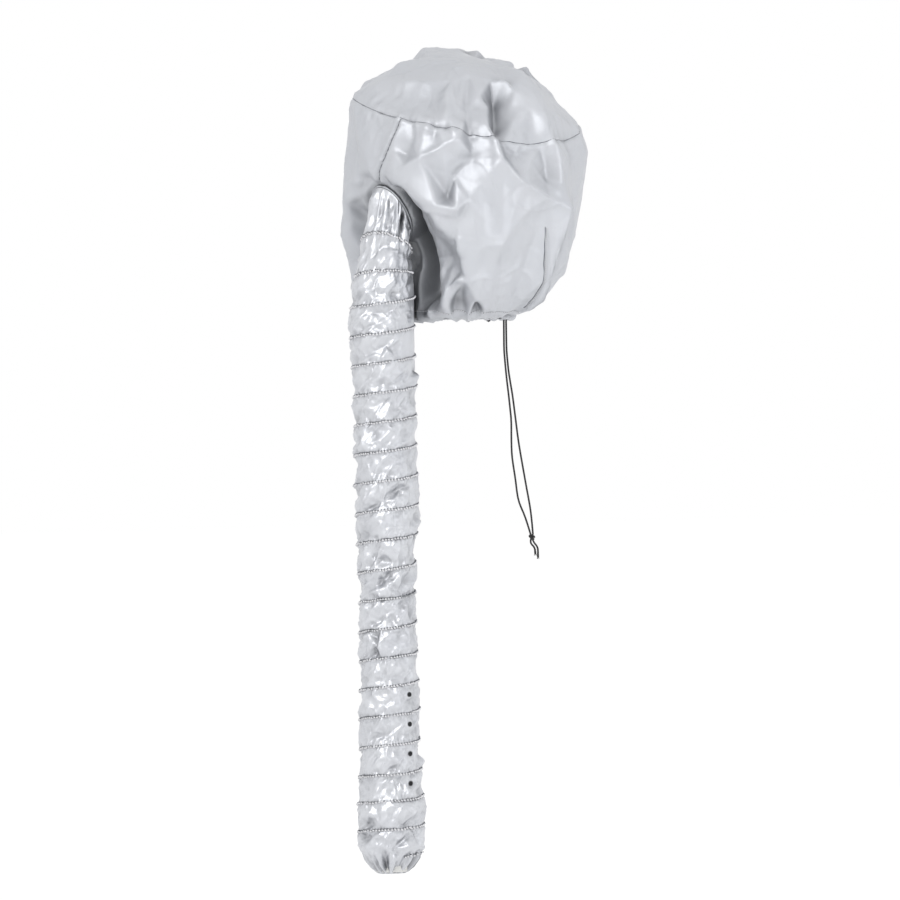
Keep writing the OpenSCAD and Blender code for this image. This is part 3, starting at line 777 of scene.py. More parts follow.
def hem_gathers(angle, place, count, depth):
    """Pleats that start at the drawn hem and run out up the band."""
    jitter = draws(count, 11)
    more = draws(count, 12)
    total = np.zeros_like(place)
    for k in range(count):
        middle = (k + 0.7 * (jitter[k, 0] - 0.5)) * 360 / count
        # The nape's pleats are shallower and shorter
        calm = 0.35 if 245 < middle < 325 else 1
        reach = (0.12 + 0.34 * jitter[k, 1] ** 2) * (0.5 + 0.5 * calm)
        width = (4.2 + 4 * jitter[k, 2]) * (1 + 1.2 * place / reach)
        lean = 26 * (more[k, 0] - 0.5)
        off = turn_between(angle - middle, lean * place)
        ridge = np.maximum(0, 1 - off / width) ** 1.4
        total += depth * calm * (0.5 + 0.9 * more[k, 1]) * ridge * smooth(1 - place / reach)
    return total


def hood_cloth(look):
    """The hood's cloth, with every fold, from the hem to the middle of the crown."""
    if "hood" in CLOTHS:
        return CLOTHS["hood"]
    angle, place = np.meshgrid(np.arange(HOOD_COLUMNS) * 360 / HOOD_COLUMNS, PLACES)
    plain = Cloth(hood_point(angle, place))
    p = plain.points
    height = 1.2 * lumps(p, 60 * MM, 3) + 0.8 * lumps(p, 30 * MM, 4)
    # The nape's face is drawn smoother than the rest
    calm = np.exp(-((angle - 250) / 24) ** 4 - ((place - 0.34) / 0.3) ** 4)
    height += 1.8 * (1 - 0.7 * calm) * (facets(p, 40 * MM, 5, 0.2) - 0.35)
    height += 0.3 * lumps(p, 12 * MM, 6) + 0.7 * np.exp(-(lumps(p, 48 * MM, 15) / 0.08) ** 2)
    # Fine creases, most of them near the seam and the hem
    fine = np.exp(-np.abs(place - 1) / 0.12) + 0.6 * np.exp(-place / 0.2) + 0.25
    height += 1.0 * fine * (creases(p * np.array([1, 1, 0.55]), 15 * MM, 9) - 0.4)
    # The slack side of the hood sags out past the hose
    height += 3 * np.exp(-((angle - 150) / 16) ** 2 - ((place - 0.2) / 0.14) ** 2)
    free = smooth(place / 0.08) * smooth((1.985 - place) / 0.3 + 0.25)
    height *= free
    flatness = 0.85 * smooth(place / 0.3)
    # The crown's cloth creases more deeply than the band's
    crown = 1 + 0.5 * smooth((place - 1) / 0.1) - 1.45 * smooth((place - 1.5) / 0.4)
    height += look.fold_depth * crown * drawn_flat(angle, place, flatness) * smooth(place / 0.03)
    # It hangs slack beside the hose on the other side
    height += 8 * np.exp(-((angle - 161) / 7) ** 2 - ((place - 0.42) / 0.16) ** 4)
    # It is pushed in behind the hose, on the nape side
    off = (angle - 194 - 11 * (0.6 - place)) / (6 + 8 * (0.6 - place))
    height -= 26 * np.exp(-off ** 4) * smooth((0.66 - place) / 0.14) * smooth(place / 0.1)
    height += hem_gathers(angle, place, look.gathers, look.gather_depth / MM)
    # The crown seam is drawn in, and its stitching puckers the cloth on both sides
    from_seam = np.where(place < 1, (1 - place) * 215, (place - 1) * 130)
    ruched = 0.5 + 1.6 * np.exp(-((angle - 224) / 16) ** 2)
    pucker = lumps(about_z(60, np.radians(angle), from_seam * 0.3), 5.5, 8)
    height += 2.4 * ruched * pucker * np.exp(-from_seam / 12)
    height += 0.5 * np.exp(-((from_seam - 5) / 4) ** 2) - 1.6 * np.exp(-(from_seam / 2.4) ** 2)
    for high, route in SHARP_FOLDS:
        away = from_line(p, hood_point(*route_on_hood(route)), 40 * MM)
        height += look.fold_depth * high * np.exp(-away / (7 * MM))
    a, s = route_on_hood(SIDE_SEAM)
    away = from_line(p, hood_point(a, s), 12 * MM) / MM
    height += 0.9 * np.exp(-((away - 4.5) / 3) ** 2) - 1.8 * np.exp(-(away / 1.5) ** 2)
    # It lies flat round the port
    port = np.linalg.norm((p - np.array(PORT)) / np.array([1, PORT_NARROW, 1]), axis=-1)
    height *= smooth((port - 34 * MM) / (9 * MM))
    # Its edge is turned out against the hose all round the port
    height += 0.8 * np.exp(-((port / MM - 34) / 4.5) ** 2)
    CLOTHS["hood"] = plain.lift(height * MM)
    return CLOTHS["hood"]


def hood_row(place):
    """The row of the hood's cloth at a place."""
    return np.interp(place, PLACES, np.arange(len(PLACES)))


def hood_column(angle):
    """The column of the hood's cloth at an angle."""
    return np.asarray(angle) * HOOD_COLUMNS / 360


def in_port(points):
    """Whether points lie in the hole that the hose opens from."""
    off = points - np.array(PORT)
    along = off @ np.array(PORT_OUT)
    flat = off - along[:, None] * np.array(PORT_OUT)
    flat[:, 1] /= PORT_NARROW
    return (np.linalg.norm(flat, axis=1) < PORT_HOLE) & (np.abs(along) < 30 * MM)


# ---- Hose ----

HOSE_COLUMNS = 208
NECK_ROWS = 58
SLEEVE_ROWS = 374
CUFF_ROWS = 62
# The cuff's outline: how far it stands off the hose's radius, in millimetres, at each length
CUFF_OUTLINE = ((0, 0), (12, 1.2), (28, 2.4), (50, 2.4), (62, 1.4), (70, -0.6), (77, -3.4),
                (82, -6.8), (86, -10.5), (89, -13.8), (92, -16.3))
# Each row of stitching has this many corners to a turn, with two more above each
ROW_CORNERS = 10
# Millimetres round the hose to one degree
SPREAD = 33 * math.pi / 180
HOSE_DOWN = np.array([math.sin(HOSE_LEAN), 0, -math.cos(HOSE_LEAN)])
NECK_TOP = np.array(PORT + NECK_GAP * PORT_OUT)
NECK_LENGTH = float(np.linalg.norm(NECK_TOP - np.array(HOSE_TOP)))
# The length at each row of the hose's cloth, from the port to the cuff's mouth
HOSE_LENGTHS = np.concatenate([
    np.linspace(-NECK_LENGTH, 0, NECK_ROWS + 1)[:-1],
    np.linspace(0, HOSE_LENGTH, SLEEVE_ROWS + 1),
    np.linspace(HOSE_LENGTH, HOSE_LENGTH + CUFF_LENGTH + CUFF_HEM, CUFF_ROWS + 1)[1:]])
# The neck and the port are gathered in from side to side, to this share of their width
PORT_NARROW = 0.8
# The hose is slack: how far its cloth stands off its own radius, in millimetres, by length
SLACK = ((-20, 0), (10, 1.5), (49, 3.5), (105, 1.8), (161, 0.4), (239, 1.6), (295, -0.6),
         (346, -3.2), (396, -1.8), (452, -1.0), (530, 0.3), (560, 1.5))


def towards_hood(way):
    """The direction square to a way in the hose's plane, towards the hood."""
    return np.array([-way[2], 0, way[0]])


def hose_point(angle, length, radius):
    """A point at this radius, with the angle running round from the side that faces the hood."""
    a = np.radians(angle)[..., None]
    r = radius[..., None]
    share = np.clip(1 + length / NECK_LENGTH, 0, 1)[..., None]
    out = np.array([0, 1, 0]) * np.sin(a)
    top = NECK_TOP + r * (np.cos(a) * towards_hood(np.array(PORT_OUT)) + PORT_NARROW * out)
    down = np.maximum(length, 0)[..., None] * HOSE_DOWN
    below = np.array(HOSE_TOP) + down + r * (np.cos(a) * towards_hood(HOSE_DOWN) + out)
    return top * (1 - share) + below * share


def hose_middle(length):
    """The hose's middle line."""
    length = np.asarray(length, float)
    return hose_point(np.zeros_like(length), length, np.zeros_like(length))


def row_shift(angle, length):
    """How far the stitched rows have settled from an even winding."""
    down = np.interp(length / MM, (0, 400, 477, 544, 575, 605, 640),
                     (0, -1.5, -3.4, -3.4, -6.7, -8.4, -10))
    tilt = np.interp(length / MM, (0, 450, 620), (1.7, 2.2, 3.8))
    return (down - tilt * np.cos(np.radians(angle - 140))) * MM


def rib_phase(angle, length):
    """How far a point lies from the stitched row above it, as a share of the pitch."""
    return ((length - row_shift(angle, length) - RIB_START) / RIB_PITCH + angle / 360) % 1


def hose_flats(angles, lengths):
    """How far the hose's flats stand out, drawn between corners on and between its rows."""
    spots = []
    rows = int((HOSE_LENGTH + CUFF_LENGTH + NECK_LENGTH) / RIB_PITCH) + 2
    for k in range(rows * ROW_CORNERS):
        turn = 1 - k / ROW_CORNERS + 2
        near = scatter(np.array([k, 3, 1]), 71)
        for up, rise in ((0, 0.5 * near[0] - 0.2), (0.25 + 0.2 * near[1], 2.8 * near[2] - 1.6),
                         (0.6 + 0.22 * near[2], 2.8 * near[0] - 1.6)):
            slip = 0 if up == 0 else (
                0.9 * (near[1] - 0.5) / ROW_CORNERS + 0.4 * up / ROW_CORNERS)
            around = (turn + slip) * 360
            down = RIB_START - (turn + slip) * RIB_PITCH + up * RIB_PITCH
            down += row_shift(around, down)
            for copy in (-360, 0, 360):
                if -50 < around % 360 + copy < 410:
                    spots.append((around % 360 + copy, down, rise))
    flat = [Vector((a * SPREAD, d / MM)) for a, d, _ in spots]
    corners, _, faces, came_from, _, _ = geometry.delaunay_2d_cdt(flat, [], [], 0, 1e-4)
    rises = np.array([spots[source[0]][2] for source in came_from])
    corners = np.array([tuple(c) for c in corners])
    across_at, down_at = angles * SPREAD, lengths / MM
    found = np.zeros((len(lengths), len(angles)))
    for face in faces:
        a, b, c = (corners[k] for k in face)
        area = (b[0] - a[0]) * (c[1] - a[1]) - (c[0] - a[0]) * (b[1] - a[1])
        if abs(area) < 1e-6:
            continue
        low, high = np.minimum(np.minimum(a, b), c), np.maximum(np.maximum(a, b), c)
        columns = np.flatnonzero((across_at >= low[0]) & (across_at <= high[0]))
        first, last = np.searchsorted(down_at, (low[1], high[1]))
        if not len(columns) or first == last:
            continue
        x, y = np.meshgrid(across_at[columns] - a[0], down_at[first:last] - a[1])
        second = (x * (c[1] - a[1]) - (c[0] - a[0]) * y) / area
        third = ((b[0] - a[0]) * y - x * (b[1] - a[1])) / area
        within = (second > -1e-6) & (third > -1e-6) & (second + third < 1 + 1e-6)
        level = rises[face[0]] + second * (rises[face[1]] - rises[face[0]]) \
            + third * (rises[face[2]] - rises[face[0]])
        block = found[first:last, columns]
        block[within] = level[within]
        found[first:last, columns] = block
    return found


def eyelet_length(k):
    """How far down the hose an eyelet is, counted from the lowest."""
    return HOSE_LENGTH - EYELET_UP - k * RIB_PITCH


def hose_radius(angle, length, look):
    """The crumpled radius of the hose's cloth."""
    a = np.radians(angle)
    p = about_z(33, a, length / MM) * MM
    phase = rib_phase(angle, length)
    from_row = np.minimum(phase, 1 - phase) * RIB_PITCH / MM
    # Creases run round the hose in a lean
    left = about_z(33, a + length / 0.05, length / MM * 0.5) * MM
    # Between two rows of stitching the cloth stands free and crumples
    free = smooth((from_row - 0.5) / 4)
    height = look.crumple / MM * 0.5 * hose_flats(angle[0], length[:, 0])
    height += free * (0.5 * lumps(p, 24 * MM, 23) + 1.2 * (creases(p, 13 * MM, 28) - 0.4)
                      + 1.3 * (creases(left, 18 * MM, 21) - 0.4))
    # Sharp folds, each a thin raised line
    for way, size, high, seed in ((left, 24 * MM, 1.1, 31), (p, 17 * MM, 0.8, 33)):
        height += free * high * np.exp(-(lumps(way, size, seed) / 0.09) ** 2)
    height += np.interp(length / MM, *zip(*SLACK)) * smooth((600 * MM - length) / (20 * MM))
    # The wire's casing stands up at each row, and its stitching gathers the cloth
    height += 0.5 * np.exp(-(from_row / 2.4) ** 2) - 0.1
    gather = lumps(about_z(60, a, length / MM * 0.35), 4.2, 25)
    height += 0.95 * gather * np.exp(-((from_row - 2.5) / 3.2) ** 2)
    height += 0.35 * lumps(p, 6 * MM, 26)
    # Its top lies flatter towards the hood, so that it can swing there
    towards = smooth((np.cos(a) + 0.35) / 0.4) * smooth((100 * MM - length) / (20 * MM))
    height -= towards * np.maximum(0, height - 1)
    # Flat under each eyelet
    for k in range(EYELETS):
        down = eyelet_length(k)
        off = np.hypot((angle - EYELET_ANGLE) * math.radians(33), (length - down) / MM)
        height *= smooth((off - 3.2) / 5)
    # The neck is pleated where it is gathered in at the port, and the cuff at its hem
    height *= smooth((length + NECK_LENGTH) / (14 * MM))
    pleat = creases(about_z(40, a, length / MM * 0.12), 13, 29)
    from_port = (length + NECK_LENGTH) / MM
    height += 8 * (pleat - 0.6) * np.exp(-(from_port / 34) ** 2) * smooth(from_port / 7)
    cuff = (length - HOSE_LENGTH) / MM
    outline = np.interp(cuff, *zip(*CUFF_OUTLINE))
    tight = smooth((cuff - 62) / 20)
    bunch = about_z(24, a, cuff * 0.12)
    pleat = 1.4 * (creases(bunch, 9, 27) - 0.5) + 0.6 * lumps(bunch, 5.0, 27)
    height = height * (1 - 0.5 * tight) + 5.8 * pleat * tight * smooth((96 - cuff) / 10)
    return HOSE_RADIUS + (outline + height) * MM


def hose_cloth(look):
    """The hose's whole cloth: the neck, the ribbed sleeve and the cuff, in one grid."""
    if "hose" in CLOTHS:
        return CLOTHS["hose"]
    angle, length = np.meshgrid(-np.arange(HOSE_COLUMNS) * 360 / HOSE_COLUMNS, HOSE_LENGTHS)
    radius = hose_radius(angle % 360, length, look)
    CLOTHS["hose"] = Cloth(hose_point(angle, length, radius))
    return CLOTHS["hose"]


def hose_row(length):
    """The row of the hose's cloth at a length."""
    return np.interp(length, HOSE_LENGTHS, np.arange(len(HOSE_LENGTHS)))


def hose_column(angle):
    """The column of the hose's cloth at an angle."""
    return -np.asarray(angle) * HOSE_COLUMNS / 360


def on_row(turn):
    """Angles in degrees and lengths along the stitched rows, counted in turns."""
    angle = np.asarray(turn) * 360
    length = RIB_START - np.asarray(turn) * RIB_PITCH
    return angle, length + row_shift(angle, length)


# ---- What a user may change ----

class HoodLook(bpy.types.PropertyGroup):
    """How strongly the hood's cloth folds."""
    fold_depth: bpy.props.FloatProperty(
        name="Fold depth", description="Strength of the set folds", default=1.0, min=0, max=2)
    gathers: bpy.props.IntProperty(
        name="Gathers", description="Pleats round the drawn hem", default=30, min=12, max=60)
    gather_depth: bpy.props.FloatProperty(
        name="Gather depth", description="How far a pleat stands out at the hem",
        default=4.2 * MM, min=0, max=10 * MM, subtype="DISTANCE", unit="LENGTH")


class HoseLook(bpy.types.PropertyGroup):
    """How strongly the hose's cloth crumples, and the size of its stitches."""
    crumple: bpy.props.FloatProperty(
        name="Crumple", description="Height of the creases between two rows of stitching",
        default=6.8 * MM, min=0, max=8 * MM, subtype="DISTANCE", unit="LENGTH")
    stitch_length: bpy.props.FloatProperty(
        name="Stitch length", description="Length of one stitch on the wire casing",
        default=3.3 * MM, min=1 * MM, max=6 * MM, subtype="DISTANCE", unit="LENGTH")
    thread: bpy.props.FloatProperty(
        name="Thread", description="Thickness of the sewing thread",
        default=1.2 * MM, min=0.2 * MM, max=2.5 * MM, subtype="DISTANCE", unit="LENGTH")


class HoodLights(bpy.types.PropertyGroup):
    """The stage's lights."""
    key: bpy.props.FloatProperty(
        name="Key light", description="Power of the large soft light in front",
        default=37, min=0, subtype="POWER", unit="POWER")
    fill: bpy.props.FloatProperty(
        name="Fill light", description="Power of the soft light low in front; the back light "
        "has a share of it",
        default=27, min=0, subtype="POWER", unit="POWER")
    air: bpy.props.FloatProperty(
        name="Room light", description="Strength of the light from all round", default=0.5,
        min=0, max=2)


# ---- Stage ----

CAMERA_DISTANCE = 14.0
CAMERA_TURN = math.radians(-40)
CAMERA_RISE = math.radians(1)
CAMERA_AIM = Vector((-0.0146, 0.0122, -0.153))
# The camera takes in this width at the object
FRAME_WIDTH = 1.008
FLOOR_Z = -0.665
FLOOR_REACH = 14
VIEW_REACH = 60
LIGHTS_AIM = Vector((0, 0, -0.1))


class DRYHOOD_OT_stage(bpy.types.Operator):
    """Makes the camera, the soft lights, the room and the floor"""
    bl_idname = "dryhood.stage"
    bl_label = "Stage"

    def execute(self, context):
        lights = context.scene.hood_lights
        context.scene.view_settings.view_transform = "Standard"
        camera = bpy.data.objects.new("camera", bpy.data.cameras.new("camera"))
        out = Vector((math.sin(CAMERA_TURN) * math.cos(CAMERA_RISE),
                      -math.cos(CAMERA_TURN) * math.cos(CAMERA_RISE), math.sin(CAMERA_RISE)))
        camera.location = CAMERA_AIM + CAMERA_DISTANCE * out
        camera.rotation_euler = (-out).to_track_quat("-Z", "Y").to_euler()
        camera.data.lens = camera.data.sensor_width * CAMERA_DISTANCE / FRAME_WIDTH
        camera.data.clip_end = VIEW_REACH
        context.scene.collection.objects.link(camera)
        context.scene.camera = camera
        # Light falls from the camera's upper left, a weaker one from its right and a weak one
        # from behind
        for name, power, size, place in (
                ("key_light", lights.key, 2.0, (-2.8, -1.25, 1.5)),
                ("fill_light", lights.fill, 1.5, (0.2, -2.9, 0.0)),
                ("back_light", 0.6 * lights.fill, 1.0, (1.8, 2.4, 0.2))):
            lamp = bpy.data.lights.new(name, "AREA")
            lamp.energy, lamp.size = power, size
            made = bpy.data.objects.new(name, lamp)
            made.location = place
            aim = LIGHTS_AIM - made.location
            made.rotation_euler = aim.to_track_quat("-Z", "Y").to_euler()
            made.visible_camera = False
            context.scene.collection.objects.link(made)
        self.room(context.scene, lights.air)
        self.floor()
        self.cards()
        return {"FINISHED"}

    def room(self, scene, air):
        """White where it is seen, reflected or shines through, and a soft grey as light."""
        world = bpy.data.worlds.new("room")
        world.use_nodes = True
        tree = world.node_tree
        back = tree.nodes["Background"]
        back.inputs["Color"].default_value = colour("#ffffff")
        path = node(tree, "ShaderNodeLightPath")
        seen = node(tree, "ShaderNodeMath", [(0, path.outputs["Is Camera Ray"]),
                                             (1, path.outputs["Is Glossy Ray"])],
                    operation="MAXIMUM")
        seen = node(tree, "ShaderNodeMath", [(0, seen.outputs[0]),
                                             (1, path.outputs["Is Transmission Ray"])],
                    operation="MAXIMUM")
        level = node(tree, "ShaderNodeMapRange", [("Value", seen.outputs[0])], To_Min=air,
                     To_Max=1.0)
        tree.links.new(level.outputs["Result"], back.inputs["Strength"])
        scene.world = world

    def floor(self):
        """A wide white floor that lies below the hose and keeps its shadow."""
        made = raise_mesh("floor", [(x * FLOOR_REACH, y * FLOOR_REACH, FLOOR_Z) for x, y in (
            (-1, -1), (1, -1), (1, 1), (-1, 1))], [(0, 1, 2, 3)])
        # White paper: a matt pale sheet that scatters light evenly
        paper, tree, shader = finish("matt_white_paper", "#f4f4f4", Roughness=0.9)
        path = node(tree, "ShaderNodeLightPath")
        glow = node(tree, "ShaderNodeEmission", Color=colour("#ffffff"), Strength=1.12)
        seen = node(tree, "ShaderNodeMath", [(0, path.outputs["Is Camera Ray"]),
                                             (1, path.outputs["Is Glossy Ray"])],
                    operation="MAXIMUM")
        share = node(tree, "ShaderNodeMath", [(0, seen.outputs[0])], operation="MULTIPLY")
        share.inputs[1].default_value = 0.82
        both = node(tree, "ShaderNodeMixShader", [
            ("Fac", share.outputs[0]), (1, shader.outputs["BSDF"]),
            (2, glow.outputs["Emission"])])
        tree.links.new(both.outputs["Shader"], tree.nodes["Material Output"].inputs["Surface"])
        made.data.materials.append(paper)

    def cards(self):
        """Two cards out of sight by the camera, for the coated cloth to reflect."""
        towards = Vector((math.sin(CAMERA_TURN), -math.cos(CAMERA_TURN), 0))
        right = Vector((math.cos(CAMERA_TURN), math.sin(CAMERA_TURN), 0))
        foot = FLOOR_Z + 0.01
        # A matt grey board takes the white off one side of a fold. A matt black one stands low
        # in front, and only the hose's flats that face it turn dark.
        for name, paint, shade, near, far, top in (
                ("card", "matt_grey_card", "#a3a5a9", (0.5, 2.1), (2.4, 0.8), 1.3),
                ("low_card", "matt_black_card", "#3a3b3e", (3.2, 0.05), (2.9, 0.95), -0.02)):
            board, _, _ = finish(paint, shade, Roughness=0.9)
            near, far = (towards * ahead + right * aside for ahead, aside in (near, far))
            made = raise_mesh(name, [(*near.xy, foot), (*far.xy, foot), (*far.xy, top),
                                     (*near.xy, top)], [(0, 1, 2, 3)])
            made.data.materials.append(board)
            made.visible_camera = made.visible_diffuse = made.visible_shadow = False


# ---- Drawcord ----

def from_cord(points):
    """Points of the drawcord's frame, in millimetres, as places in metres."""
    p = np.asarray(points, float) * MM
    c, s = math.cos(CORD_TURN), math.sin(CORD_TURN)
    x = HEM_RADIUS * math.cos(CORD_EXIT_ANGLE) + p[:, 0] * c - p[:, 1] * s
    y = HEM_RADIUS * math.sin(CORD_EXIT_ANGLE) + p[:, 0] * s + p[:, 1] * c
    return np.stack([x, y, p[:, 2]], -1)


class DRYHOOD_OT_drawcord(bpy.types.Operator):
    """Makes the drawcord's two strands, its knot and its frayed tails"""
    bl_idname = "dryhood.drawcord"
    bl_label = "Drawcord"

    def execute(self, context):
        ends = []
        for name, route in (("drawcord_tail_left", TAIL_LEFT),
                            ("drawcord_tail_right", TAIL_RIGHT)):
            line = curve_through(route, 14)
            radius = np.interp(np.arange(14), (0, 9, 13), (1.05, 1.1, 1.35)) * MM
            made = raise_mesh(name + "_braid", *tube(from_cord(line), radius, 10))
            place_piece(made, braided_cord, "drawcord", name)
            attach(made, "cord_end")
            ends.append(made)
        ends += [self.knot(), self.fray()]
        for name, route, side in (("drawcord_left", STRAND_LEFT, -1),
                                  ("drawcord_right", STRAND_RIGHT, 1)):
            data = bpy.data.curves.new(name + "_braid", "CURVE")
            data.dimensions = "3D"
            data.bevel_depth = CORD_DIAMETER / 2
            data.bevel_resolution = 3
            data.use_fill_caps = True
            line = from_cord(curve_through(route, 40))
            spline = data.splines.new("POLY")
            spline.points.add(len(line) - 1)
            for point, place in zip(spline.points, line):
                point.co = (*place, 1)
            made = bpy.data.objects.new(name + "_braid", data)
            context.scene.collection.objects.link(made)
            place_piece(made, braided_cord, "drawcord", name)
            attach(made, "drawcord")
        return {"FINISHED"}

    def knot(self):
        """An overhand knot of both strands: two turns of cord drawn tight on each other."""
        x, y, z = KNOT_PLACE
        turns = []
        for k in range(61):
            t = 2 * math.pi * 2.0 * k / 60
            around = 2.45 + 0.45 * math.cos(1.5 * t)
            turns.append((x + around * math.cos(t), y + 0.85 * around * math.sin(t),
                          z + 2.1 * math.sin(0.75 * t)))
        # The strands pass up and down through the middle of the turns
        through = (((x - 1.1, y, z + 3.6), (x - 0.7, y + 0.5, z), (x - 1.1, y, z - 3.6)),
                   ((x + 1.2, y, z + 3.6), (x + 0.8, y - 0.5, z), (x + 1.3, y, z - 3.6)))
        parts = [tube(from_cord(turns), 1.12 * MM, 10)]
        parts += [tube(from_cord(strand), 1.05 * MM, 10) for strand in through]
        made = raise_mesh("overhand_knot", *joined(parts))
        place_piece(made, braided_cord, "drawcord", "drawcord_knot")
        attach(made, "cord_end")
        return made

    def fray(self):
        """Short loose fibres at the cut ends of the tails."""
        fibres = []
        spread = draws(22, 31) - 0.5
        for k, (dx, dy, dz) in enumerate(spread):
            x, y, z = (TAIL_LEFT if k % 2 else TAIL_RIGHT)[-1]
            line = from_cord([(x + 0.8 * dx, y + 0.8 * dy, z + 0.6),
                              (x + 2.2 * dx, y + 2.2 * dy, z - 0.9),
                              (x + 3.6 * dx, y + 3.6 * dy, z - 2.2 - 1.2 * dz)])
            fibres.append(tube(line, np.array([0.22, 0.2, 0.1]) * MM, 4))
        made = raise_mesh("drawcord_fray", *joined(fibres))
        place_piece(made, braided_cord, "drawcord")
        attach(made, "cord_end")
        return made


# ---- Hood pieces ----

class DRYHOOD_OT_hood(bpy.types.Operator):
    """Makes the hood's side band and crown from one folded cloth"""
    bl_idname = "dryhood.hood"
    bl_label = "Hood"

    def execute(self, context):
        cloth = hood_cloth(context.scene.hood_look)
        across = 2 * math.pi * HOOD_MEAN_RADIUS / HOOD_COLUMNS
        band = cloth.mesh("side_band_cloth", across, 1.7 * MM, 0, BAND_ROWS + 1, hole=in_port)
        place_piece(band, silver_satin, "satin", "side_band")
        crown = cloth.mesh("crown_cloth", across, 2.3 * MM, BAND_ROWS, len(PLACES),
                           top=cloth.points[-1].mean(axis=0))
        place_piece(crown, silver_satin, "satin", "crown_panel")
        for made in (band, crown):
            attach(made, "hood")
        channel = self.hem(context.scene.hood_look)
        # The panels' cut sizes: a long strip, and a round piece in its square
        return {"FINISHED"}

    def hem(self, look):
        """The gathered channel that the drawcord runs in."""
        angle, turn = np.meshgrid(np.arange(HOOD_COLUMNS) * 360 / HOOD_COLUMNS,
                                  np.linspace(0, 2 * np.pi, 25))
        a = np.radians(angle)
        # A rounded upright section, pleated with the band above it
        deep = 0.5 * HEM_WIDTH * np.sign(np.cos(turn)) * np.abs(np.cos(turn)) ** 0.7
        tall = 0.5 * HEM_HEIGHT * np.sign(np.sin(turn)) * np.abs(np.sin(turn)) ** 0.8
        pleat = hem_gathers(angle, np.zeros_like(a), look.gathers, 1.0)
        ring = about_z(50, a, tall / MM)
        ruffle = 2.0 * lumps(ring * np.array([1, 1, 0.3]), 7, 41) + 1.6 * lumps(ring, 16, 42)
        swell = (2.4 * (pleat - 0.4) + ruffle) * MM
        off = turn_between(angle, math.degrees(CORD_EXIT_ANGLE))
        swell *= smooth((off - 2) / 4)
        r = HEM_RADIUS + deep + swell * np.cos(turn)
        z = tall + 0.8 * swell * np.sin(turn)
        cloth = Cloth(about_z(r, a, z)[::-1])
        made = cloth.mesh("hem_channel_cloth", 0.9 * MM, 1.6 * MM)
        place_piece(made, silver_satin, "satin", "hem_channel")
        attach(made, "hood")
        return made


class DRYHOOD_OT_port(bpy.types.Operator):
    """Makes the rolled seam that joins the hose to the hood"""
    bl_idname = "dryhood.port"
    bl_label = "Port seam"

    def execute(self, context):
        # A thin roll of the band's edge, puckered by its stitching
        angle, turn = np.meshgrid(np.arange(160) * 360 / 160, np.linspace(0, 2 * np.pi, 17))
        a = np.radians(angle)
        pucker = lumps(about_z(35, a, 0 * a), 8, 51) * MM
        r = 33.8 * MM + 0.6 * pucker + (1.2 * MM + 0.4 * pucker) * np.cos(turn)
        out = PORT_GAP + 1.2 * MM + (1.3 * MM + 0.5 * pucker) * np.sin(turn)
        side = np.array([-PORT_OUT[2], 0, PORT_OUT[0]])
        level = np.array([0, PORT_NARROW, 0])
        points = (np.array(PORT) + out[..., None] * np.array(PORT_OUT)
                  + (r * np.cos(a))[..., None] * side + (r * np.sin(a))[..., None] * level)
        made = Cloth(points).mesh("port_seam_roll", 1.4 * MM, 0.7 * MM)
        place_piece(made, silver_satin, "satin", "port_collar")
        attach(made, "hood")
        return {"FINISHED"}


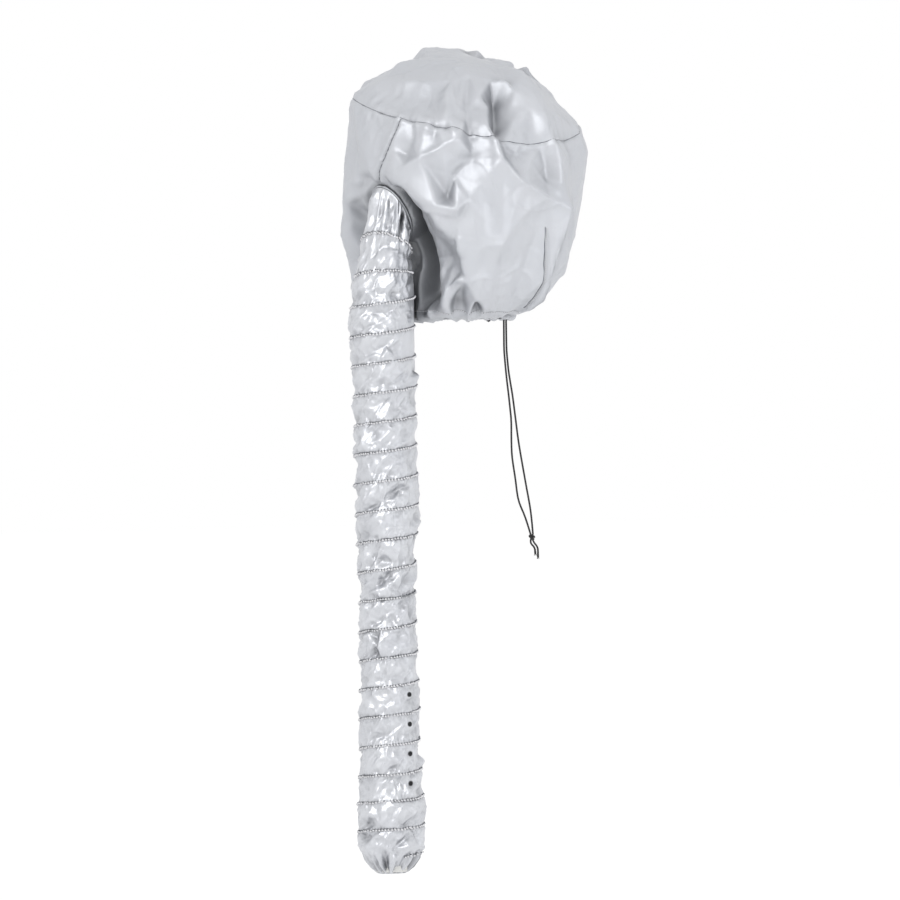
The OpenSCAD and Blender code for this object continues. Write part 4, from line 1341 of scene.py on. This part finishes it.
class DRYHOOD_OT_hood_trim(bpy.types.Operator):
    """Makes the hood's seam tapes, nape placket and rows of stitching"""
    bl_idname = "dryhood.hood_trim"
    bl_label = "Hood trim"

    def execute(self, context):
        cloth = hood_cloth(context.scene.hood_look)
        # The seam allowances stand inside the hood
        angle = np.arange(0, 361, 1.5)
        self.strip(cloth, "crown_seam_tape", angle, np.ones_like(angle),
                   TAPE_LIFT, "tape", rows=np.linspace(-0.03, -0.004, 5))
        a, s = route_on_hood(SIDE_SEAM, 30)
        self.strip(cloth, "side_seam_tape", a, s, TAPE_LIFT, "tape", half=2.6)
        # The placket is a flat strip beside its stitching, down the nape
        down = np.linspace(PLACKET_TOP[1], PLACKET_FOOT[1], 46)
        turn = np.linspace(PLACKET_TOP[0], PLACKET_FOOT[0], 46)
        self.strip(cloth, "nape_placket", turn + 4.6, down, 0.75 * MM, "satin", half=4.1)
        self.row(cloth, "placket_stitching", turn - 0.2, down, 2.4 * MM)
        # A thin line of painted shade beside the placket's stitching
        self.crease(cloth, "placket_painted_shade", turn - 0.8, down)
        angle = np.linspace(2, 358, 90)
        self.row(cloth, "hem_stitching", angle, 0.014 + 0 * angle, 3.0 * MM)
        # Painted shade: the two seams show as a dark line in the crease between their cloths
        around = np.linspace(0, 360, 361)
        self.crease(cloth, "crown_seam_painted_shade", around, np.ones_like(around))
        self.crease(cloth, "side_seam_painted_shade", a, s)
        return {"FINISHED"}

    def strip(self, cloth, name, angle, place, lift, slot_name, rows=None, half=None):
        """A strip of cloth that follows the hood's folds at this lift.

        It covers these rows, or else this many degrees on each side of its line.
        """
        if half is None:
            a, s = np.meshgrid(angle, place[0] + rows)
        else:
            a = np.stack([angle + half * t for t in (-1, -0.8, -0.3, 0.3, 0.8, 1)])
            s = np.stack([place] * 6)
        points, out = cloth.at(hood_row(s), hood_column(a))
        edge = np.ones(points.shape[:2])
        if half is not None:
            edge[0] = edge[-1] = 0.15 if lift > 0 else 1
            if lift > 0:
                edge *= np.minimum(1, 0.05 + np.arange(edge.shape[1]) / 5)
        grid = Cloth(points + out * (lift * edge)[..., None], wrapped=False)
        made = grid.mesh(name + "_cloth", 1.4 * MM, 1.2 * MM)
        place_piece(made, silver_satin, slot_name, name)
        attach(made, "hood")

    def crease(self, cloth, name, angle, place):
        """A thin dark strip of painted shade in the valley of a seam."""
        points, out = cloth.at(hood_row(place), hood_column(angle))
        side = np.cross(unit(np.gradient(points, axis=0)), out) * 0.45 * MM
        uneven = 1 + 0.5 * lumps(points, 9 * MM, 61)[:, None]
        made = Cloth(np.stack([points - side * uneven, points + out * 0.25 * MM,
                               points + side * uneven]), wrapped=False).mesh(name, 1 * MM, 1 * MM)
        place_piece(made, painted_hole_and_seam_shade, "thread")
        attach(made, "hood")

    def row(self, cloth, name, angle, place, pitch):
        """A row of thread stitches on the hood, one to each pitch, for the node of its name."""
        points, _ = cloth.at(hood_row(place), hood_column(angle))
        run = run_along(points)
        starts = np.arange(0, run[-1] - pitch, pitch)
        found = []
        for at in (starts, starts + 0.72 * pitch):
            a, s = np.interp(at, run, angle), np.interp(at, run, place)
            found.append(cloth.at(hood_row(s), hood_column(a)))
        (start, up), (end, _) = found
        made = stitches(name + "_thread", start, end, up, 0.55 * MM)
        place_piece(made, sewing_thread, "thread", name)
        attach(made, "hood")
        # Painted shade of a needle hole after each stitch
        hole_shade = stitches(name + "_holes", end, end + (end - start) * 0.35, up, 0.5 * MM)
        place_piece(hole_shade, painted_hole_and_seam_shade, "thread")
        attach(hole_shade, "hood")


# ---- Hose pieces ----

class DRYHOOD_OT_hose(bpy.types.Operator):
    """Makes the hose's neck, its ribbed sleeve and the gathered dryer cuff"""
    bl_idname = "dryhood.hose"
    bl_label = "Hose"

    def execute(self, context):
        cloth = hose_cloth(context.scene.hose_look)
        across = 2 * math.pi * HOSE_RADIUS / HOSE_COLUMNS
        up = HOSE_LENGTH / SLEEVE_ROWS
        cuff_row = NECK_ROWS + SLEEVE_ROWS
        sleeve, neck, cuff = (
            place_piece(cloth.mesh(name, across, up, first, last), foil_nylon, "foil_fabric",
                        *stands_for)
            for name, first, last, stands_for in (
                ("hose_sleeve", NECK_ROWS, cuff_row + 1,
                 ("hose_sleeve_upper", "hose_sleeve_lower")),
                ("hose_neck_cloth", 0, NECK_ROWS + 1, ("hose_neck",)),
                ("cuff_cloth", cuff_row, None, ("cuff_sleeve", "cuff_hem"))))
        self.lining(cloth, across)
        bend_neck(neck)
        bend_sleeve(sleeve)
        bend_cuff(cuff)
        return {"FINISHED"}

    def lining(self, cloth, across):
        """The inside of the cuff's hem: the cloth turns in round the mouth and back up."""
        rim = cloth.points[-1]
        middle = hose_middle(np.full(len(rim), HOSE_LENGTH + CUFF_LENGTH + CUFF_HEM))
        out = rim - middle
        r = np.linalg.norm(out, axis=1, keepdims=True)
        rows = []
        # How far in from the rim and how far down each row lies, in millimetres
        for inset, up in ((0, 0), (1.2, 0.7), (2.4, 0.1), (3.1, -2), (3.3, -6), (3.1, -10)):
            rows.append(middle + out / r * (r - inset * MM) + HOSE_DOWN * up * MM)
        made = Cloth(np.array(rows)).mesh("cuff_mouth", across, 2 * MM)
        place_piece(made, foil_nylon, "foil_fabric")
        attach(made, "dryer_cuff")


def bend_neck(piece):
    """Bakes the neck piece's transform into its mesh."""
    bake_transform(piece)


def bend_sleeve(piece):
    """Bakes the sleeve piece's transform into its mesh."""
    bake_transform(piece)


def bend_cuff(piece):
    """Bakes the cuff piece's transform into its mesh."""
    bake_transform(piece)


class DRYHOOD_OT_hose_trim(bpy.types.Operator):
    """Makes the stitching on the wire casing and the spring wire inside, and gives the vent
    eyelets their finish
    """
    bl_idname = "dryhood.hose_trim"
    bl_label = "Hose trim"

    def execute(self, context):
        look = context.scene.hose_look
        cloth = hose_cloth(look)
        # Each stretch of stitching, by the turns of the winding that it starts and ends at
        for part, first, last, bend, stands_for in (
                ("neck", 2.2, 0.19, bend_neck, ()),
                ("sleeve", 0.17, -16.8, bend_sleeve, ("wire_casing_upper", "wire_casing_lower")),
                ("cuff", -16.84, -19.26, bend_cuff, ("cuff_stitching",))):
            self.casing(cloth, look, part, first, last, bend, stands_for)
        self.wires()
        self.vents()
        place_piece(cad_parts["vent_eyelets"], lacquered_brass, "eyelet")
        return {"FINISHED"}

    def casing(self, cloth, look, part, first, last, bend, stands_for):
        """Thread stitches along the rib, a few of them missing, with painted shade of needle holes
        between them.
        """
        step = look.stitch_length / (2 * math.pi * HOSE_RADIUS)
        turn = np.arange(first, last, -step)
        jump = draws(len(turn), 61)
        angle, length = on_row(turn)
        slant = (jump[:, 1] - 0.5) * 0.8 * MM
        ends = []
        # A stitch crosses the row in a slant, from 0.9 mm below it to 0.9 mm above
        for share, down in ((0.0, 0.9), (0.6, -0.9)):
            a = angle - 360 * step * share
            d = length + RIB_PITCH * step * share + down * MM + slant
            ends.append(cloth.at(hose_row(d), hose_column(a)))
        (start, up), (end, _) = ends
        # One stitch in about seventeen is lost in the cloth
        shown = jump[:, 0] > 0.06
        gap = end + (end - start) * 0.2
        made = stitches("casing_stitching_" + part, start[shown], end[shown], up[shown],
                        look.thread * 1.7)
        place_piece(made, sewing_thread, "thread", *stands_for)
        bend(made)
        # Painted shade of a needle hole after each stitch
        hole_shade = stitches("needle_holes_" + part, gap, gap + (end - start) * 0.25, up,
                         look.thread)
        place_piece(hole_shade, painted_hole_and_seam_shade, "thread")
        bend(hole_shade)

    def vents(self):
        """A dark disc of painted shade in each eyelet, where the hose's unlit inside would be
        seen.
        """
        points, faces = [], []
        turn = np.arange(12) * np.pi / 6
        for k in range(EYELETS):
            angle = EYELET_ANGLE + np.degrees(VENT_RADIUS * np.cos(turn) / HOSE_RADIUS)
            ring = hose_point(angle, eyelet_length(k) + VENT_RADIUS * np.sin(turn),
                              np.full(len(turn), HOSE_RADIUS + 0.9 * MM))
            faces.append([len(points) + n for n in range(len(turn))])
            points.extend(ring.tolist())
        made = raise_mesh("vent_painted_shade", points, faces)
        place_piece(made, painted_vent_shade, "thread")
        bend_sleeve(made)

    def wires(self):
        """The sprung steel winding in the casing, seen only from inside."""
        for part, first, last, bend, stands_for in (
                ("neck", 2.2, 0.2, bend_neck, ("neck_wire",)),
                ("sleeve", 0.15, -16.8, bend_sleeve, ("hose_wire_upper", "hose_wire_lower"))):
            turn = np.arange(first, last, -1 / 40)
            angle, length = on_row(turn)
            inside = np.full(len(turn), HOSE_RADIUS - 1.9 * MM)
            line = hose_point(angle, length, inside)
            made = raise_mesh("spring_wire_" + part, *tube(line, WIRE_DIAMETER / 2, 8))
            place_piece(made, spring_steel, "wire", *stands_for)
            bend(made)


class DRYHOOD_OT_inner_cords(bpy.types.Operator):
    """Gives the drawcord in the hem and the elastic in the cuff their finishes"""
    bl_idname = "dryhood.inner_cords"
    bl_label = "Hem cord and elastic"

    def execute(self, context):
        for name, maker in (("hem_drawcord", braided_cord), ("cuff_elastic", woven_elastic)):
            dress(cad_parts[name], maker)
        return {"FINISHED"}


# ---- The sidebar and the run ----

STEPS = ("stage", "drawcord", "hose", "hose_trim", "hood", "port", "hood_trim", "inner_cords")


class DRYHOOD_PT_panel(bpy.types.Panel):
    """Lists the drying hood's pieces in the order that they are made"""
    bl_idname = "DRYHOOD_PT_panel"
    bl_label = "Drying hood"
    bl_space_type = "VIEW_3D"
    bl_region_type = "UI"
    bl_category = "Drying hood"

    def draw(self, context):
        for holder in (context.scene.hood_look, context.scene.hose_look,
                       context.scene.hood_lights):
            for name in holder.bl_rna.properties.keys():
                if name not in ("rna_type", "name"):
                    self.layout.prop(holder, name)
        for step in STEPS:
            self.layout.operator("dryhood." + step)


CLASSES = (
    HoodLook, HoseLook, HoodLights, DRYHOOD_OT_stage, DRYHOOD_OT_drawcord, DRYHOOD_OT_hose,
    DRYHOOD_OT_hose_trim, DRYHOOD_OT_hood, DRYHOOD_OT_port, DRYHOOD_OT_hood_trim,
    DRYHOOD_OT_inner_cords, DRYHOOD_PT_panel)


def register():
    for cls in CLASSES:
        bpy.utils.register_class(cls)
    bpy.types.Scene.hood_look = bpy.props.PointerProperty(type=HoodLook)
    bpy.types.Scene.hose_look = bpy.props.PointerProperty(type=HoseLook)
    bpy.types.Scene.hood_lights = bpy.props.PointerProperty(type=HoodLights)


def unregister():
    del bpy.types.Scene.hood_look
    del bpy.types.Scene.hose_look
    del bpy.types.Scene.hood_lights
    for cls in reversed(CLASSES):
        bpy.utils.unregister_class(cls)


def main():
    """Makes every piece in order."""
    register()
    for step in STEPS:
        getattr(bpy.ops.dryhood, step)()
    bpy.context.view_layer.update()


if __name__ == "__main__":
    main()
